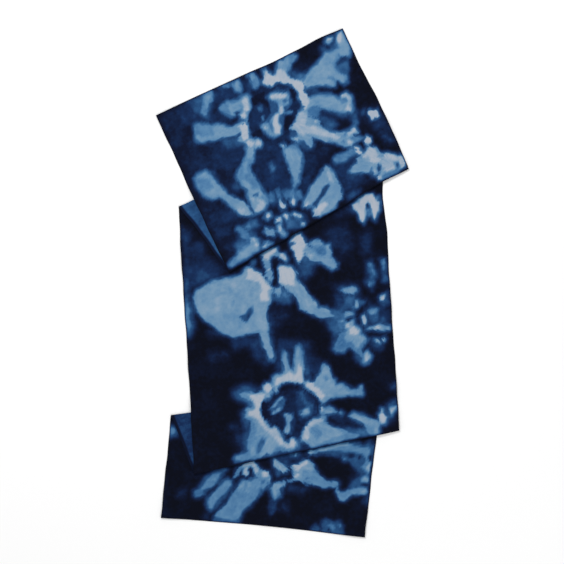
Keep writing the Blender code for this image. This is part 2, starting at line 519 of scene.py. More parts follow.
FIRST_MARKS = petals(
    (0.12, (-42, 90), (-30, 52), (0, 37), (45, 50), (57, 75), (46, 100), (15, 130), (-20, 133),
     (-36, 110)),
    (0.05, (-18, 42), (8, 42), (9, 60), (-4, 78), (-16, 62)),
    (0.06, (-46, 99), (-26, 100), (-28, 110), (-42, 108)),
    (0.05, (16, 99), (36, 98), (34, 108), (18, 120), (12, 112)),
    (0.06, (48, 56), (56, 62), (54, 80), (46, 70)),
    (0.16, (-34, 88), (-22, 60), (-6, 56), (2, 70), (-4, 86), (-22, 92)),
    (0.29, (6, 50), (30, 46), (48, 57), (47, 80), (36, 86), (26, 92), (14, 112), (8, 124), (-12, 126),
     (-24, 108), (-24, 93), (-8, 89), (4, 80), (9, 66)),
    (0.50, (-92, 3), (-75, 3), (-77, 12), (-88, 24), (-98, 37), (-103, 36), (-105, 28), (-98, 16)),
    (0.50, (-36, 5), (-25, 5), (-25, 22), (-28, 26), (-35, 20)),
    (0.42, (-52, 3), (-44, 3), (-44, 7), (-51, 6)),
    (0.50, (-75, 37), (-70, 32), (-57, 30), (-40, 37), (-33, 33), (-19, 34), (-17, 39), (-21, 55),
     (-32, 67), (-38, 75), (-45, 72), (-48, 60), (-44, 57), (-47, 53), (-53, 54), (-55, 59), (-61, 58),
     (-70, 47)),
    (0.52, (-129, 45), (-124, 41), (-102, 56), (-90, 59), (-69, 75), (-46, 72), (-50, 92), (-66, 91),
     (-86, 87), (-106, 82), (-126, 78), (-135, 69), (-131, 60)),
    (0.60, (-72, 100), (-60, 96), (-57, 80), (-42, 78), (-42, 88), (-48, 100), (-44, 108), (-33, 114),
     (-31, 122), (-37, 129), (-46, 126), (-56, 122), (-57, 115), (-62, 106)),
    (0.50, (-61, 119), (-47, 124), (-54, 136), (-60, 147), (-69, 147), (-70, 162), (-67, 180),
     (-66, 196), (-62, 210), (-66, 222), (-78, 231), (-96, 231), (-94, 212), (-95, 197), (-91, 186),
     (-96, 172), (-98, 158), (-92, 150), (-78, 142), (-66, 130)),
    (0.50, (-164, 129), (-157, 124), (-142, 125), (-136, 134), (-129, 160), (-122, 182), (-106, 206),
     (-98, 232), (-106, 230), (-118, 222), (-130, 196), (-139, 178), (-152, 176), (-162, 164),
     (-166, 144)),
    (0.50, (-6, 4), (0, 2), (6, 6), (8, 24), (4, 27), (-3, 31), (-6, 28)),
    (0.50, (66, 3), (84, 3), (87, 9), (80, 14), (70, 18), (63, 30), (59, 28)),
    (0.61, (22, 6), (28, 6), (33, 22), (39, 25), (46, 13), (54, 5), (72, 6), (66, 18), (60, 24),
     (59, 35), (64, 44), (80, 54), (78, 62), (72, 68), (73, 98), (66, 101), (56, 98), (61, 90),
     (58, 78), (63, 68), (56, 50), (38, 38), (24, 39), (12, 28), (12, 23), (20, 22)),
    (0.50, (76, 52), (98, 42), (124, 33), (134, 26), (157, 28), (161, 14), (168, 4), (177, 3),
     (178, 38), (169, 49), (160, 44), (148, 48), (139, 54), (144, 68), (155, 68), (148, 88), (141, 91),
     (133, 76), (125, 87), (104, 73), (78, 69)),
    (0.50, (72, 84), (92, 86), (112, 96), (122, 108), (138, 104), (144, 113), (138, 136), (132, 141),
     (116, 131), (96, 119), (80, 105), (60, 106), (58, 99)),
    (0.62, (22, 120), (38, 111), (48, 119), (58, 114), (74, 123), (76, 129), (69, 134), (84, 154),
     (94, 163), (112, 168), (126, 163), (127, 176), (117, 180), (118, 187), (106, 196), (92, 186),
     (86, 178), (70, 166), (50, 150), (44, 150), (48, 163), (42, 165), (34, 150), (20, 142), (18, 136),
     (29, 136), (30, 130)),
    (0.64, (42, 105), (50, 100), (60, 99), (65, 103), (62, 114), (57, 119), (48, 121), (38, 114)),
    (0.43, (64, 102), (82, 105), (85, 111), (80, 119), (76, 124), (66, 118), (60, 114)),
    (0.60, (85, 179), (92, 178), (104, 183), (104, 190), (94, 188)),
    (0.33, (-15, 63), (-8, 62), (-6, 69), (-10, 73), (-14, 70)),
    (0.48, (114, 181), (126, 186), (129, 190), (114, 190)),
    (0.50, (-3, 148), (8, 147), (20, 150), (23, 168), (20, 178), (7, 198), (-2, 213), (-15, 216),
     (-9, 198), (-8, 176)),
    (0.46, (-36, 167), (-33, 166), (-32, 173), (-36, 174)),
    (0.46, (68, 203), (76, 199), (98, 201), (100, 195), (108, 197), (107, 208), (88, 211), (72, 210)),
    (0.60, (12, 54), (18, 51), (28, 53), (34, 58), (43, 60), (45, 68), (39, 79), (26, 80), (20, 90),
     (14, 92), (8, 104), (10, 112), (4, 121), (-4, 122), (-10, 120), (-16, 112), (-22, 98), (-16, 93),
     (-9, 94), (-5, 97), (4, 88), (17, 85), (24, 70), (15, 62)),
    (0.34, (32, 70), (38, 68), (40, 74), (34, 75)),
    (0.44, (-6, 98), (1, 96), (-2, 112), (-8, 113), (-9, 104)),
    (0.46, (24, 91), (34, 91), (40, 96), (34, 98)),
    (0.46, (-15, 81), (-11, 80), (-11, 87), (-15, 87)),
    (0.56, (-4, 140), (2, 139), (4, 145), (-2, 148)),
    (0.62, (-88, 6), (-81, 8), (-92, 26), (-97, 24)),
    (0.62, (-32, 7), (-27, 7), (-30, 20), (-33, 18)),
    (0.64, (-57, 37), (-36, 40), (-31, 36), (-21, 36), (-24, 52), (-30, 60), (-36, 64), (-40, 60),
     (-38, 52), (-48, 50), (-55, 57), (-59, 54)),
    (0.64, (-132, 66), (-126, 62), (-123, 68), (-100, 77), (-99, 62), (-92, 62), (-76, 76), (-54, 76),
     (-54, 90), (-86, 86), (-126, 75)),
    (0.64, (-60, 121), (-50, 122), (-51, 130), (-62, 140), (-66, 136)),
    (0.62, (-78, 143), (-71, 143), (-77, 161), (-81, 158)),
    (0.64, (-94, 167), (-88, 170), (-80, 182), (-83, 190), (-72, 193), (-67, 203), (-74, 208),
     (-70, 222), (-80, 230), (-94, 228), (-93, 204), (-88, 194)),
    (0.64, (-158, 129), (-144, 128), (-132, 155), (-124, 178), (-106, 202), (-99, 230), (-112, 224),
     (-128, 196), (-136, 174), (-148, 174), (-158, 164), (-157, 160), (-138, 161), (-142, 140),
     (-155, 133)),
    (0.62, (-4, 6), (2, 6), (3, 14), (-4, 15)),
    (0.65, (80, 55), (102, 41), (134, 29), (160, 30), (164, 12), (176, 4), (176, 34), (168, 47),
     (148, 40), (142, 46), (135, 44), (135, 60), (148, 78), (142, 87), (128, 68), (122, 64), (117, 70),
     (127, 76), (125, 85), (98, 70), (79, 66)),
    (0.62, (141, 9), (148, 4), (158, 6), (154, 12), (146, 14)),
    (0.64, (73, 88), (90, 88), (104, 98), (114, 100), (122, 117), (130, 116), (125, 110), (136, 106),
     (141, 112), (136, 134), (131, 139), (118, 130), (100, 118), (80, 102), (62, 102), (60, 99)),
    (0.60, (20, 139), (28, 142), (36, 150), (46, 152), (48, 160), (44, 162), (34, 150), (24, 146)),
    (0.64, (-2, 152), (6, 150), (18, 162), (18, 178), (8, 190), (0, 207), (-8, 206), (-6, 188),
     (-5, 176)),
    (0.94, (-33, 40), (-26, 38), (-22, 41), (-26, 50), (-28, 58), (-33, 61), (-38, 57), (-34, 50)),
    (0.94, (-45, 62), (-38, 60), (-36, 66), (-40, 71), (-45, 68)),
    (0.96, (-59, 78), (-43, 77), (-43, 86), (-51, 105), (-58, 106), (-60, 98), (-55, 88)),
    (0.94, (-56, 111), (-50, 108), (-43, 117), (-49, 121), (-53, 120)),
    (0.94, (-42, 118), (-36, 115), (-33, 121), (-36, 125), (-41, 123)),
    (0.96, (26, 11), (30, 14), (33, 22), (40, 27), (44, 20), (51, 18), (57, 26), (58, 41), (70, 50),
     (79, 57), (71, 70), (75, 78), (72, 94), (62, 100), (59, 84), (63, 68), (57, 50), (37, 37),
     (25, 38), (12, 27), (19, 20)),
    (0.93, (165, 8), (174, 5), (172, 14), (166, 21), (163, 20)),
    (0.92, (146, 7), (152, 4), (156, 7), (150, 9)),
    (0.92, (125, 131), (132, 124), (134, 132), (131, 138)),
    (0.84, (134, 108), (138, 110), (136, 113)),
    (0.85, (26, 122), (38, 113), (47, 119), (57, 113), (50, 124), (51, 130), (62, 134), (86, 158),
     (96, 172), (86, 171), (60, 150), (44, 138), (38, 140), (30, 126)),
    (0.80, (43, 107), (48, 102), (56, 103), (58, 110), (54, 117), (46, 119), (40, 114)),
    (0.84, (125, 108), (131, 105), (138, 107), (140, 114), (136, 126), (132, 126), (134, 114),
     (130, 110)),
    (0.88, (66, 126), (70, 127), (68, 130)),
    (0.92, (110, 170), (118, 172), (122, 166), (125, 168), (124, 174), (109, 177)),
    (0.94, (102, 186), (106, 182), (111, 187), (106, 192)),
    (0.82, (-122, 209), (-110, 214), (-103, 229), (-116, 222)),
    (0.82, (-90, 203), (-85, 204), (-87, 208)),
    (0.84, (-80, 208), (-72, 217), (-74, 224), (-80, 229), (-94, 227), (-90, 221), (-80, 217)),
    (0.97, (15, 55), (24, 54), (37, 59), (42, 63), (38, 67), (28, 64), (17, 61)),
    (0.92, (21, 78), (27, 78), (24, 88), (17, 90)),
    (0.99, (8, 88), (14, 89), (8, 100), (9, 110), (3, 120), (-4, 117), (-1, 102)),
    (0.88, (-17, 99), (-14, 98), (-13, 102), (-16, 103)),
    (0.86, (-2, 141), (1, 141), (1, 145), (-2, 145)),
    (0.86, (22, 140), (27, 142), (27, 145), (23, 143)),
    (0.30, (-85, 198), (-74, 200), (-75, 205), (-84, 201)),
    (0.42, (103, 169), (107, 169), (107, 173), (103, 173)),
    (0.38, (95, 179), (99, 180), (98, 183)),
    (0.40, (111, 181), (115, 182), (112, 184)),
    (0.46, (152, 39), (155, 37), (157, 42), (153, 43)),
    (0.98, (158, 153), (163, 150), (174, 155), (172, 167), (165, 168), (158, 167)),
    (0.60, (109, 196), (114, 195), (117, 200), (116, 210), (111, 210), (109, 204)),
    (0.95, (110, 199), (114, 196), (118, 202), (118, 214), (112, 213), (109, 206)),
    (0.33, (141, 57), (156, 52), (162, 58), (158, 68), (150, 76), (144, 71)),
    (0.22, (142, 51), (158, 46), (168, 50), (160, 54), (146, 56)),
    (0.47, (121, 110), (133, 112), (135, 121), (121, 118)),
    (0.98, (131, 196), (137, 191), (142, 196), (141, 202), (133, 204)),
    (0.50, (131, 202), (136, 203), (135, 211), (132, 210)),
    (0.42, (129, 157), (133, 157), (132, 161)),
)

# The sun that the first crease runs through.
SECOND_CLOUDS = petals(
    (0.31, (-137, 240), (-98, 240), (-96, 252), (-112, 254), (-112, 270), (-100, 282), (-130, 276),
     (-152, 278), (-152, 268), (-140, 262)),
    (0.30, (-52, 264), (-20, 268), (-18, 280), (-36, 286), (-56, 278)),
    (0.26, (-60, 208), (-10, 212), (-12, 240), (-30, 232), (-60, 232)),
    (0.26, (60, 268), (90, 270), (86, 278), (62, 278)),
    (0.30, (112, 240), (128, 240), (130, 256), (118, 258)),
    (0.16, (-170, 226), (-140, 232), (-150, 248), (-172, 244)),
)
SECOND_MARKS = petals(
    (0.50, (-176, 293), (-170, 288), (-158, 285), (-150, 278), (-126, 275), (-122, 266), (-114, 266),
     (-110, 274), (-114, 290), (-150, 296), (-172, 297)),
    (0.46, (-137, 241), (-131, 240), (-120, 250), (-118, 266), (-128, 268), (-133, 260), (-134, 247)),
    (0.44, (-118, 245), (-113, 244), (-112, 249), (-117, 250)),
    (0.64, (-160, 289), (-150, 283), (-118, 276), (-112, 282), (-118, 289), (-155, 292)),
    (0.62, (-124, 266), (-116, 266), (-112, 274), (-116, 284), (-124, 280)),
    (0.63, (-110, 291), (-103, 283), (-98, 285), (-92, 291), (-104, 293)),
    (0.90, (-120, 279), (-116, 278), (-114, 283), (-119, 284)),
    (0.84, (-119, 270), (-115, 270), (-116, 274)),
    (0.90, (-107, 288), (-103, 286), (-101, 290), (-106, 291)),
    (0.64, (-15, 257), (-8, 246), (2, 238), (12, 229), (28, 224), (40, 212), (52, 206), (57, 216),
     (60, 256), (52, 268), (42, 271), (36, 281), (4, 284), (-5, 277), (-3, 269), (4, 262), (-4, 258)),
    (0.92, (-13, 256), (-3, 250), (-4, 256), (-10, 259)),
    (0.82, (46, 218), (52, 215), (52, 240), (47, 232)),
    (0.92, (-4, 275), (0, 269), (14, 264), (24, 264), (26, 270), (10, 276), (4, 282)),
    (0.22, (0, 259), (18, 250), (28, 241), (42, 236), (44, 240), (24, 253), (10, 262), (6, 267)),
    (0.58, (-83, 243), (-77, 238), (-71, 240), (-71, 248), (-80, 250)),
    (0.97, (-81, 245), (-76, 240), (-72, 245), (-77, 249)),
    (0.62, (-44, 225), (-41, 238), (-43, 244), (-51, 244), (-52, 238)),
    (0.98, (-46, 229), (-42, 242), (-51, 243), (-51, 237)),
    (0.60, (-21, 229), (-20, 236), (-25, 245), (-31, 244), (-30, 237)),
    (0.97, (-24, 233), (-23, 240), (-27, 245), (-31, 241)),
    (0.44, (-59, 214), (-54, 209), (-52, 214), (-56, 224), (-60, 222)),
    (0.42, (-36, 218), (-33, 220), (-20, 221), (-20, 227), (-34, 229)),
    (0.42, (-14, 228), (-10, 228), (-10, 240), (-14, 238)),
    (0.44, (-45, 209), (-41, 209), (-42, 226), (-45, 222)),
    (0.72, (-69, 260), (-64, 253), (-58, 255), (-60, 262)),
    (0.92, (-65, 255), (-60, 255), (-61, 259), (-66, 259)),
    (0.62, (-53, 254), (-48, 252), (-44, 256), (-47, 265), (-51, 264)),
    (0.98, (-52, 254), (-47, 253), (-44, 258), (-48, 263)),
    (0.54, (-40, 258), (-34, 257), (-24, 266), (-24, 272), (-30, 270)),
    (0.92, (-38, 258), (-32, 258), (-29, 263), (-34, 263)),
    (0.90, (-30, 265), (-25, 266), (-24, 272), (-29, 271)),
    (0.48, (-33, 283), (-29, 278), (-24, 282), (-27, 288)),
    (0.88, (-30, 282), (-26, 280), (-25, 285), (-29, 287)),
    (0.63, (-95, 265), (-90, 262), (-86, 265), (-78, 268), (-78, 272), (-82, 279), (-92, 274)),
    (0.52, (-74, 272), (-68, 266), (-61, 264), (-63, 274), (-62, 286), (-66, 290), (-71, 284)),
    (0.95, (-71, 276), (-67, 269), (-63, 270), (-66, 276), (-70, 278)),
    (0.62, (-71, 279), (-67, 279), (-67, 284), (-70, 283)),
)

# The small sun at the top panel's lower right corner.
CORNER_MARKS = petals(
    (0.63, (82, 233), (92, 227), (104, 225), (106, 218), (118, 214), (134, 206), (144, 215), (147, 227),
     (158, 231), (170, 240), (178, 248), (177, 258), (166, 269), (140, 269), (131, 271), (130, 264),
     (136, 256), (124, 259), (120, 250), (104, 243), (88, 237)),
    (0.45, (131, 266), (178, 256), (177, 266), (160, 272), (134, 273)),
    (0.94, (116, 219), (134, 210), (142, 217), (142, 227), (137, 229), (145, 235), (140, 240),
     (128, 237), (122, 228)),
    (0.70, (119, 224), (125, 223), (126, 229), (121, 230)),
    (0.95, (147, 238), (152, 232), (164, 237), (173, 248), (172, 256), (166, 249), (156, 244),
     (148, 245)),
    (0.92, (142, 257), (150, 258), (158, 255), (161, 262), (146, 263)),
    (0.80, (140, 240), (148, 238), (162, 247), (160, 256), (148, 258), (142, 250)),
    (0.90, (126, 262), (133, 262), (133, 269), (128, 268)),
    (0.86, (168, 248), (177, 244), (180, 250), (178, 262), (172, 268), (168, 264), (170, 258)),
    (0.46, (162, 253), (168, 253), (170, 262), (163, 265)),
    (0.20, (164, 256), (168, 256), (167, 262), (164, 261)),
    (0.24, (132, 256), (131, 250), (137, 242), (141, 248), (137, 254)),
    (0.30, (117, 250), (124, 244), (123, 248), (119, 252)),
    (0.80, (124, 253), (128, 249), (127, 255)),
)

# The long petals at the middle panel's upper end.
THIRD_CLOUDS = petals(
    (0.15, (-178, 500), (-166, 508), (-170, 530), (-148, 528), (-140, 546), (-108, 578), (-126, 596),
     (-178, 606)),
    (0.18, (-164, 558), (-140, 572), (-132, 590), (-160, 596)),
    (0.12, (70, 520), (110, 505), (120, 545), (95, 565), (84, 545)),
    (0.12, (130, 530), (150, 525), (150, 560), (135, 560)),
    (0.33, (-180, 588), (-174, 590), (-172, 620), (-169, 650), (-169, 675), (-176, 690), (-181, 690)),
    (0.33, (22, 572), (33, 556), (40, 568), (50, 572), (44, 588), (32, 597), (24, 594)),
    (0.32, (-22, 612), (-6, 610), (8, 628), (2, 640), (-18, 640), (-30, 632)),
    (0.15, (-38, 640), (-6, 650), (0, 660), (-20, 676), (-36, 684)),
    (0.31, (113, 480), (120, 476), (124, 486), (116, 486)),
    (0.15, (96, 492), (110, 478), (126, 488), (112, 492)),
    (0.32, (143, 575), (150, 574), (157, 590), (158, 598), (150, 606), (148, 624), (138, 609),
     (146, 601)),
    (0.31, (166, 572), (176, 572), (178, 608), (170, 608)),
    (0.32, (50, 664), (78, 657), (100, 658), (100, 690), (92, 700), (80, 700), (66, 676)),
    (0.15, (-140, 684), (-104, 697), (-98, 716), (-72, 710), (-60, 738), (-44, 745), (-26, 740),
     (-30, 680), (-54, 696)),
    (0.14, (-142, 722), (-130, 717), (-112, 724), (-125, 731), (-138, 733)),
)
THIRD_MARKS = petals(
    (0.57, (-160, 610), (-140, 598), (-127, 594), (-108, 590), (-97, 590), (-80, 586), (-70, 576),
     (-62, 575), (-47, 582), (-37, 600), (-26, 611), (-29, 635), (-38, 652), (-37, 690), (-31, 720),
     (-29, 735), (-32, 740), (-38, 738), (-48, 716), (-52, 690), (-60, 690), (-100, 695), (-112, 691),
     (-130, 678), (-148, 662), (-160, 648), (-166, 622)),
    (0.62, (-158, 620), (-150, 610), (-60, 600), (-56, 640), (-60, 662), (-84, 690), (-100, 692),
     (-112, 688), (-130, 674), (-148, 658), (-160, 644)),
    (0.60, (-38, 690), (-34, 706), (-28, 736), (-34, 739), (-42, 730), (-49, 712), (-51, 690)),
    (0.67, (-158, 616), (-150, 606), (-138, 601), (-110, 597), (-80, 591), (-68, 578), (-48, 584),
     (-28, 611), (-33, 620), (-32, 634), (-38, 646), (-40, 690), (-31, 733), (-34, 736), (-45, 715),
     (-52, 684), (-62, 686), (-80, 690), (-93, 687), (-84, 677), (-74, 674), (-60, 660), (-57, 630),
     (-78, 646), (-98, 650), (-106, 640), (-118, 648), (-142, 655), (-156, 648), (-160, 630)),
    (0.96, (-69, 586), (-67, 577), (-60, 579), (-48, 585), (-36, 606), (-28, 612), (-36, 615),
     (-34, 633), (-46, 634), (-49, 626), (-43, 616), (-48, 600), (-70, 594)),
    (0.76, (-103, 602), (-95, 599), (-91, 602), (-94, 607), (-100, 607)),
    (0.56, (-98, 632), (-95, 630), (-95, 638), (-98, 638)),
    (0.28, (-86, 660), (-76, 654), (-68, 645), (-63, 643), (-63, 653), (-74, 670), (-80, 667)),
    (0.20, (-75, 661), (-70, 652), (-67, 650), (-68, 660), (-73, 667)),
    (0.48, (-180, 620), (-177, 622), (-174, 640), (-172, 672), (-178, 682), (-180, 665)),
    (0.57, (-42, 553), (-22, 543), (-15, 541), (-12, 550), (-1, 552), (3, 563), (0, 568), (-14, 558),
     (-22, 557), (-28, 562), (-27, 578), (-24, 586), (-24, 596), (-28, 601), (-33, 598), (-38, 588),
     (-36, 580), (-40, 566)),
    (0.96, (-39, 556), (-17, 543), (-17, 550), (-27, 555), (-31, 563), (-37, 560)),
    (0.95, (-9, 552), (-4, 551), (1, 565), (-4, 563), (-8, 557)),
    (0.95, (-32, 579), (-26, 579), (-25, 592), (-31, 596)),
    (0.64, (-34, 583), (-27, 579), (-25, 590), (-28, 598), (-33, 590)),
    (0.30, (-60, 563), (-56, 562), (-56, 567), (-60, 567)),
    (0.60, (-15, 576), (-10, 573), (10, 577), (20, 588), (15, 598), (30, 614), (34, 626), (48, 640),
     (54, 650), (66, 652), (79, 666), (77, 671), (62, 670), (40, 662), (22, 650), (15, 632), (0, 615),
     (-14, 607)),
    (0.67, (-12, 600), (12, 600), (28, 614), (34, 628), (47, 642), (50, 650), (42, 655), (34, 654),
     (21, 636), (14, 622), (0, 611), (-12, 607)),
    (0.62, (64, 657), (69, 658), (74, 666), (71, 667)),
    (0.98, (-14, 578), (-8, 576), (12, 581), (14, 588), (12, 600), (13, 609), (-6, 606), (-14, 604)),
    (0.58, (-23, 612), (-20, 618), (-12, 611), (-10, 620), (-16, 628), (-24, 622)),
    (0.66, (-21, 614), (-14, 612), (-13, 619), (-19, 621)),
    (0.46, (-8, 624), (-2, 622), (1, 628), (-4, 632)),
    (0.12, (-26, 623), (-22, 623), (-22, 631), (-25, 630)),
    (0.50, (42, 538), (50, 532), (58, 531), (70, 541), (78, 541), (79, 556), (90, 576), (89, 584),
     (80, 585), (62, 573), (44, 569), (40, 556), (46, 548)),
    (0.64, (10, 533), (20, 521), (28, 519), (40, 540), (52, 550), (54, 558), (68, 560), (78, 565),
     (88, 577), (84, 585), (54, 569), (42, 568), (34, 555), (22, 573), (14, 550), (9, 544), (9, 541),
     (18, 537)),
    (0.64, (45, 538), (52, 533), (60, 533), (68, 542), (56, 543), (48, 542)),
    (0.64, (70, 544), (77, 543), (79, 567), (72, 560)),
    (0.98, (12, 533), (20, 522), (27, 520), (36, 532), (37, 543), (31, 546), (29, 560), (22, 570),
     (18, 563), (17, 550), (11, 543), (20, 537)),
    (0.82, (41, 556), (47, 559), (46, 563), (42, 561)),
    (0.44, (52, 544), (60, 541), (68, 544), (72, 552), (69, 560), (60, 559), (54, 553)),
    (0.36, (57, 548), (63, 548), (63, 554), (58, 554)),
    (0.40, (39, 541), (51, 550), (46, 541)),
    (0.05, (-24, 561), (-14, 560), (-16, 574), (-17, 604), (-23, 606), (-21, 584)),
    (0.30, (9, 536), (17, 535), (18, 538), (9, 539)),
    (0.60, (120, 474), (126, 469), (136, 463), (148, 456), (158, 455), (166, 468), (171, 470),
     (170, 484), (164, 490), (161, 504), (156, 498), (153, 472), (147, 472), (144, 498), (140, 507),
     (134, 502), (132, 491), (122, 482)),
    (0.97, (122, 474), (126, 471), (134, 472), (136, 466), (146, 459), (157, 456), (163, 468),
     (168, 472), (168, 483), (162, 489), (160, 501), (157, 498), (155, 476), (150, 470), (146, 472),
     (142, 482), (142, 498), (139, 505), (134, 498), (133, 490), (125, 481)),
    (0.08, (146, 474), (150, 471), (153, 478), (147, 480)),
    (0.42, (148, 481), (152, 480), (153, 493), (148, 494)),
    (0.46, (163, 462), (169, 461), (169, 467), (165, 469)),
    (0.47, (145, 578), (149, 576), (155, 590), (154, 598), (150, 596), (147, 587)),
    (0.45, (142, 612), (148, 609), (151, 612), (149, 618), (144, 617)),
    (0.47, (168, 574), (173, 572), (175, 578), (174, 592), (170, 592), (168, 584)),
    (0.50, (90, 620), (94, 618), (120, 618), (124, 622), (120, 628), (112, 631), (98, 628)),
    (0.66, (96, 623), (101, 620), (121, 620), (118, 627), (106, 628)),
)

# The sun near the middle panel's right edge.
SIDE_CLOUDS = petals(
    (0.16, (86, 614), (124, 614), (126, 640), (110, 655), (84, 655)),
    (0.31, (100, 632), (118, 634), (118, 660), (88, 660), (100, 645)),
    (0.31, (78, 690), (96, 688), (88, 705), (84, 728), (76, 726)),
    (0.29, (136, 658), (150, 652), (158, 655), (158, 668), (156, 682), (146, 684), (140, 676)),
    (0.28, (162, 670), (168, 672), (168, 684), (162, 684)),
    (0.29, (158, 640), (174, 632), (178, 650), (166, 658), (160, 650)),
    (0.29, (144, 710), (158, 710), (160, 720), (158, 728), (150, 726), (144, 722)),
    (0.15, (136, 640), (178, 660), (178, 688), (140, 690)),
    (0.30, (112, 728), (126, 736), (124, 752), (114, 740)),
)
SIDE_MARKS = petals(
    (0.50, (117, 643), (122, 641), (125, 646), (124, 653), (120, 656), (113, 653), (118, 650)),
    (0.70, (119, 651), (122, 650), (122, 654)),
    (0.32, (124, 643), (132, 645), (128, 649)),
    (0.48, (96, 668), (99, 661), (106, 659), (114, 661), (116, 665), (106, 669), (98, 671)),
    (0.66, (98, 668), (101, 662), (113, 664), (104, 667)),
    (0.48, (85, 676), (88, 673), (96, 673), (96, 677), (88, 678)),
    (0.64, (92, 674), (96, 674), (95, 677)),
    (0.46, (96, 686), (98, 680), (108, 676), (111, 672), (115, 675), (114, 684), (124, 690), (126, 699),
     (138, 710), (126, 726), (126, 734), (136, 730), (141, 741), (136, 751), (128, 755), (124, 752),
     (126, 742), (104, 722), (94, 730), (80, 731), (77, 725), (83, 708), (86, 698), (98, 694)),
    (0.65, (98, 684), (112, 675), (113, 681), (110, 686), (124, 693), (121, 701), (134, 709),
     (124, 716), (120, 726), (114, 724), (108, 712), (98, 712), (98, 704), (104, 690)),
    (0.90, (127, 670), (133, 667), (137, 678), (135, 685), (130, 683)),
    (0.90, (143, 663), (149, 661), (150, 665), (146, 667)),
    (0.74, (119, 645), (122, 645), (123, 653), (119, 652)),
    (0.95, (100, 685), (104, 682), (107, 686), (102, 688)),
    (0.97, (107, 690), (113, 687), (121, 698), (118, 701), (106, 701)),
    (0.80, (129, 741), (131, 735), (135, 734), (137, 742), (133, 749), (129, 750)),
    (0.82, (128, 671), (133, 668), (136, 680), (133, 685), (130, 681)),
    (0.54, (134, 692), (142, 688), (160, 686), (178, 689), (178, 695), (160, 697), (142, 694)),
    (0.66, (145, 692), (152, 688), (160, 688), (166, 692), (160, 696), (152, 695)),
    (0.95, (148, 692), (154, 688), (160, 691), (156, 694)),
    (0.68, (138, 692), (142, 690), (143, 693), (140, 694)),
    (0.68, (171, 694), (174, 690), (177, 692), (174, 696)),
    (0.49, (139, 660), (155, 656), (157, 660), (152, 667), (144, 668)),
    (0.66, (146, 662), (150, 663), (148, 667)),
    (0.44, (151, 671), (155, 671), (154, 675)),
    (0.48, (161, 638), (166, 634), (171, 633), (171, 643), (167, 648), (162, 645)),
    (0.94, (161, 637), (168, 634), (171, 638), (169, 646), (163, 645)),
    (0.47, (146, 712), (156, 711), (158, 719), (155, 721), (150, 716)),
    (0.80, (151, 711), (156, 711), (157, 717), (153, 716)),
    (0.47, (163, 710), (166, 708), (169, 711), (166, 715)),
    (0.84, (163, 709), (167, 708), (168, 713), (164, 714)),
    (0.10, (99, 674), (104, 671), (112, 670), (103, 678)),
)

# The ring at the middle panel's lower end.
FOURTH_CLOUDS = petals(
    (0.15, (-20, 708), (10, 706), (30, 712), (34, 735), (62, 748), (40, 770), (24, 760), (-24, 758),
     (-26, 736)),
    (0.15, (-112, 850), (-92, 850), (-88, 896), (-98, 895), (-102, 862)),
    (0.14, (60, 840), (96, 846), (124, 862), (90, 862)),
    (0.16, (-40, 812), (-10, 800), (20, 806), (40, 826), (20, 846), (-6, 852), (-30, 840)),
    (0.31, (22, 752), (30, 755), (30, 770), (38, 778), (22, 778)),
    (0.31, (-105, 790), (-84, 783), (-54, 788), (-56, 796), (-76, 800), (-70, 820), (-80, 812),
     (-92, 806), (-104, 797)),
    (0.30, (-90, 832), (-82, 822), (-72, 842), (-80, 862), (-84, 900), (-92, 899), (-90, 870)),
    (0.31, (-44, 822), (-34, 815), (-26, 804), (-18, 802), (-12, 808), (-22, 830), (-34, 834),
     (-44, 830)),
    (0.31, (12, 800), (16, 795), (20, 812), (34, 820), (24, 824), (14, 814)),
    (0.31, (8, 832), (28, 822), (34, 838), (16, 842)),
    (0.32, (60, 858), (90, 864), (124, 868), (136, 880), (110, 882), (88, 880)),
    (0.30, (165, 826), (178, 820), (180, 836), (172, 852), (164, 856), (162, 850)),
    (0.30, (176, 794), (181, 792), (181, 800), (177, 799)),
    (0.30, (4, 884), (12, 884), (10, 898), (4, 896)),
    (0.30, (-80, 906), (-20, 898), (20, 896), (24, 902), (-30, 906), (-80, 914)),
)
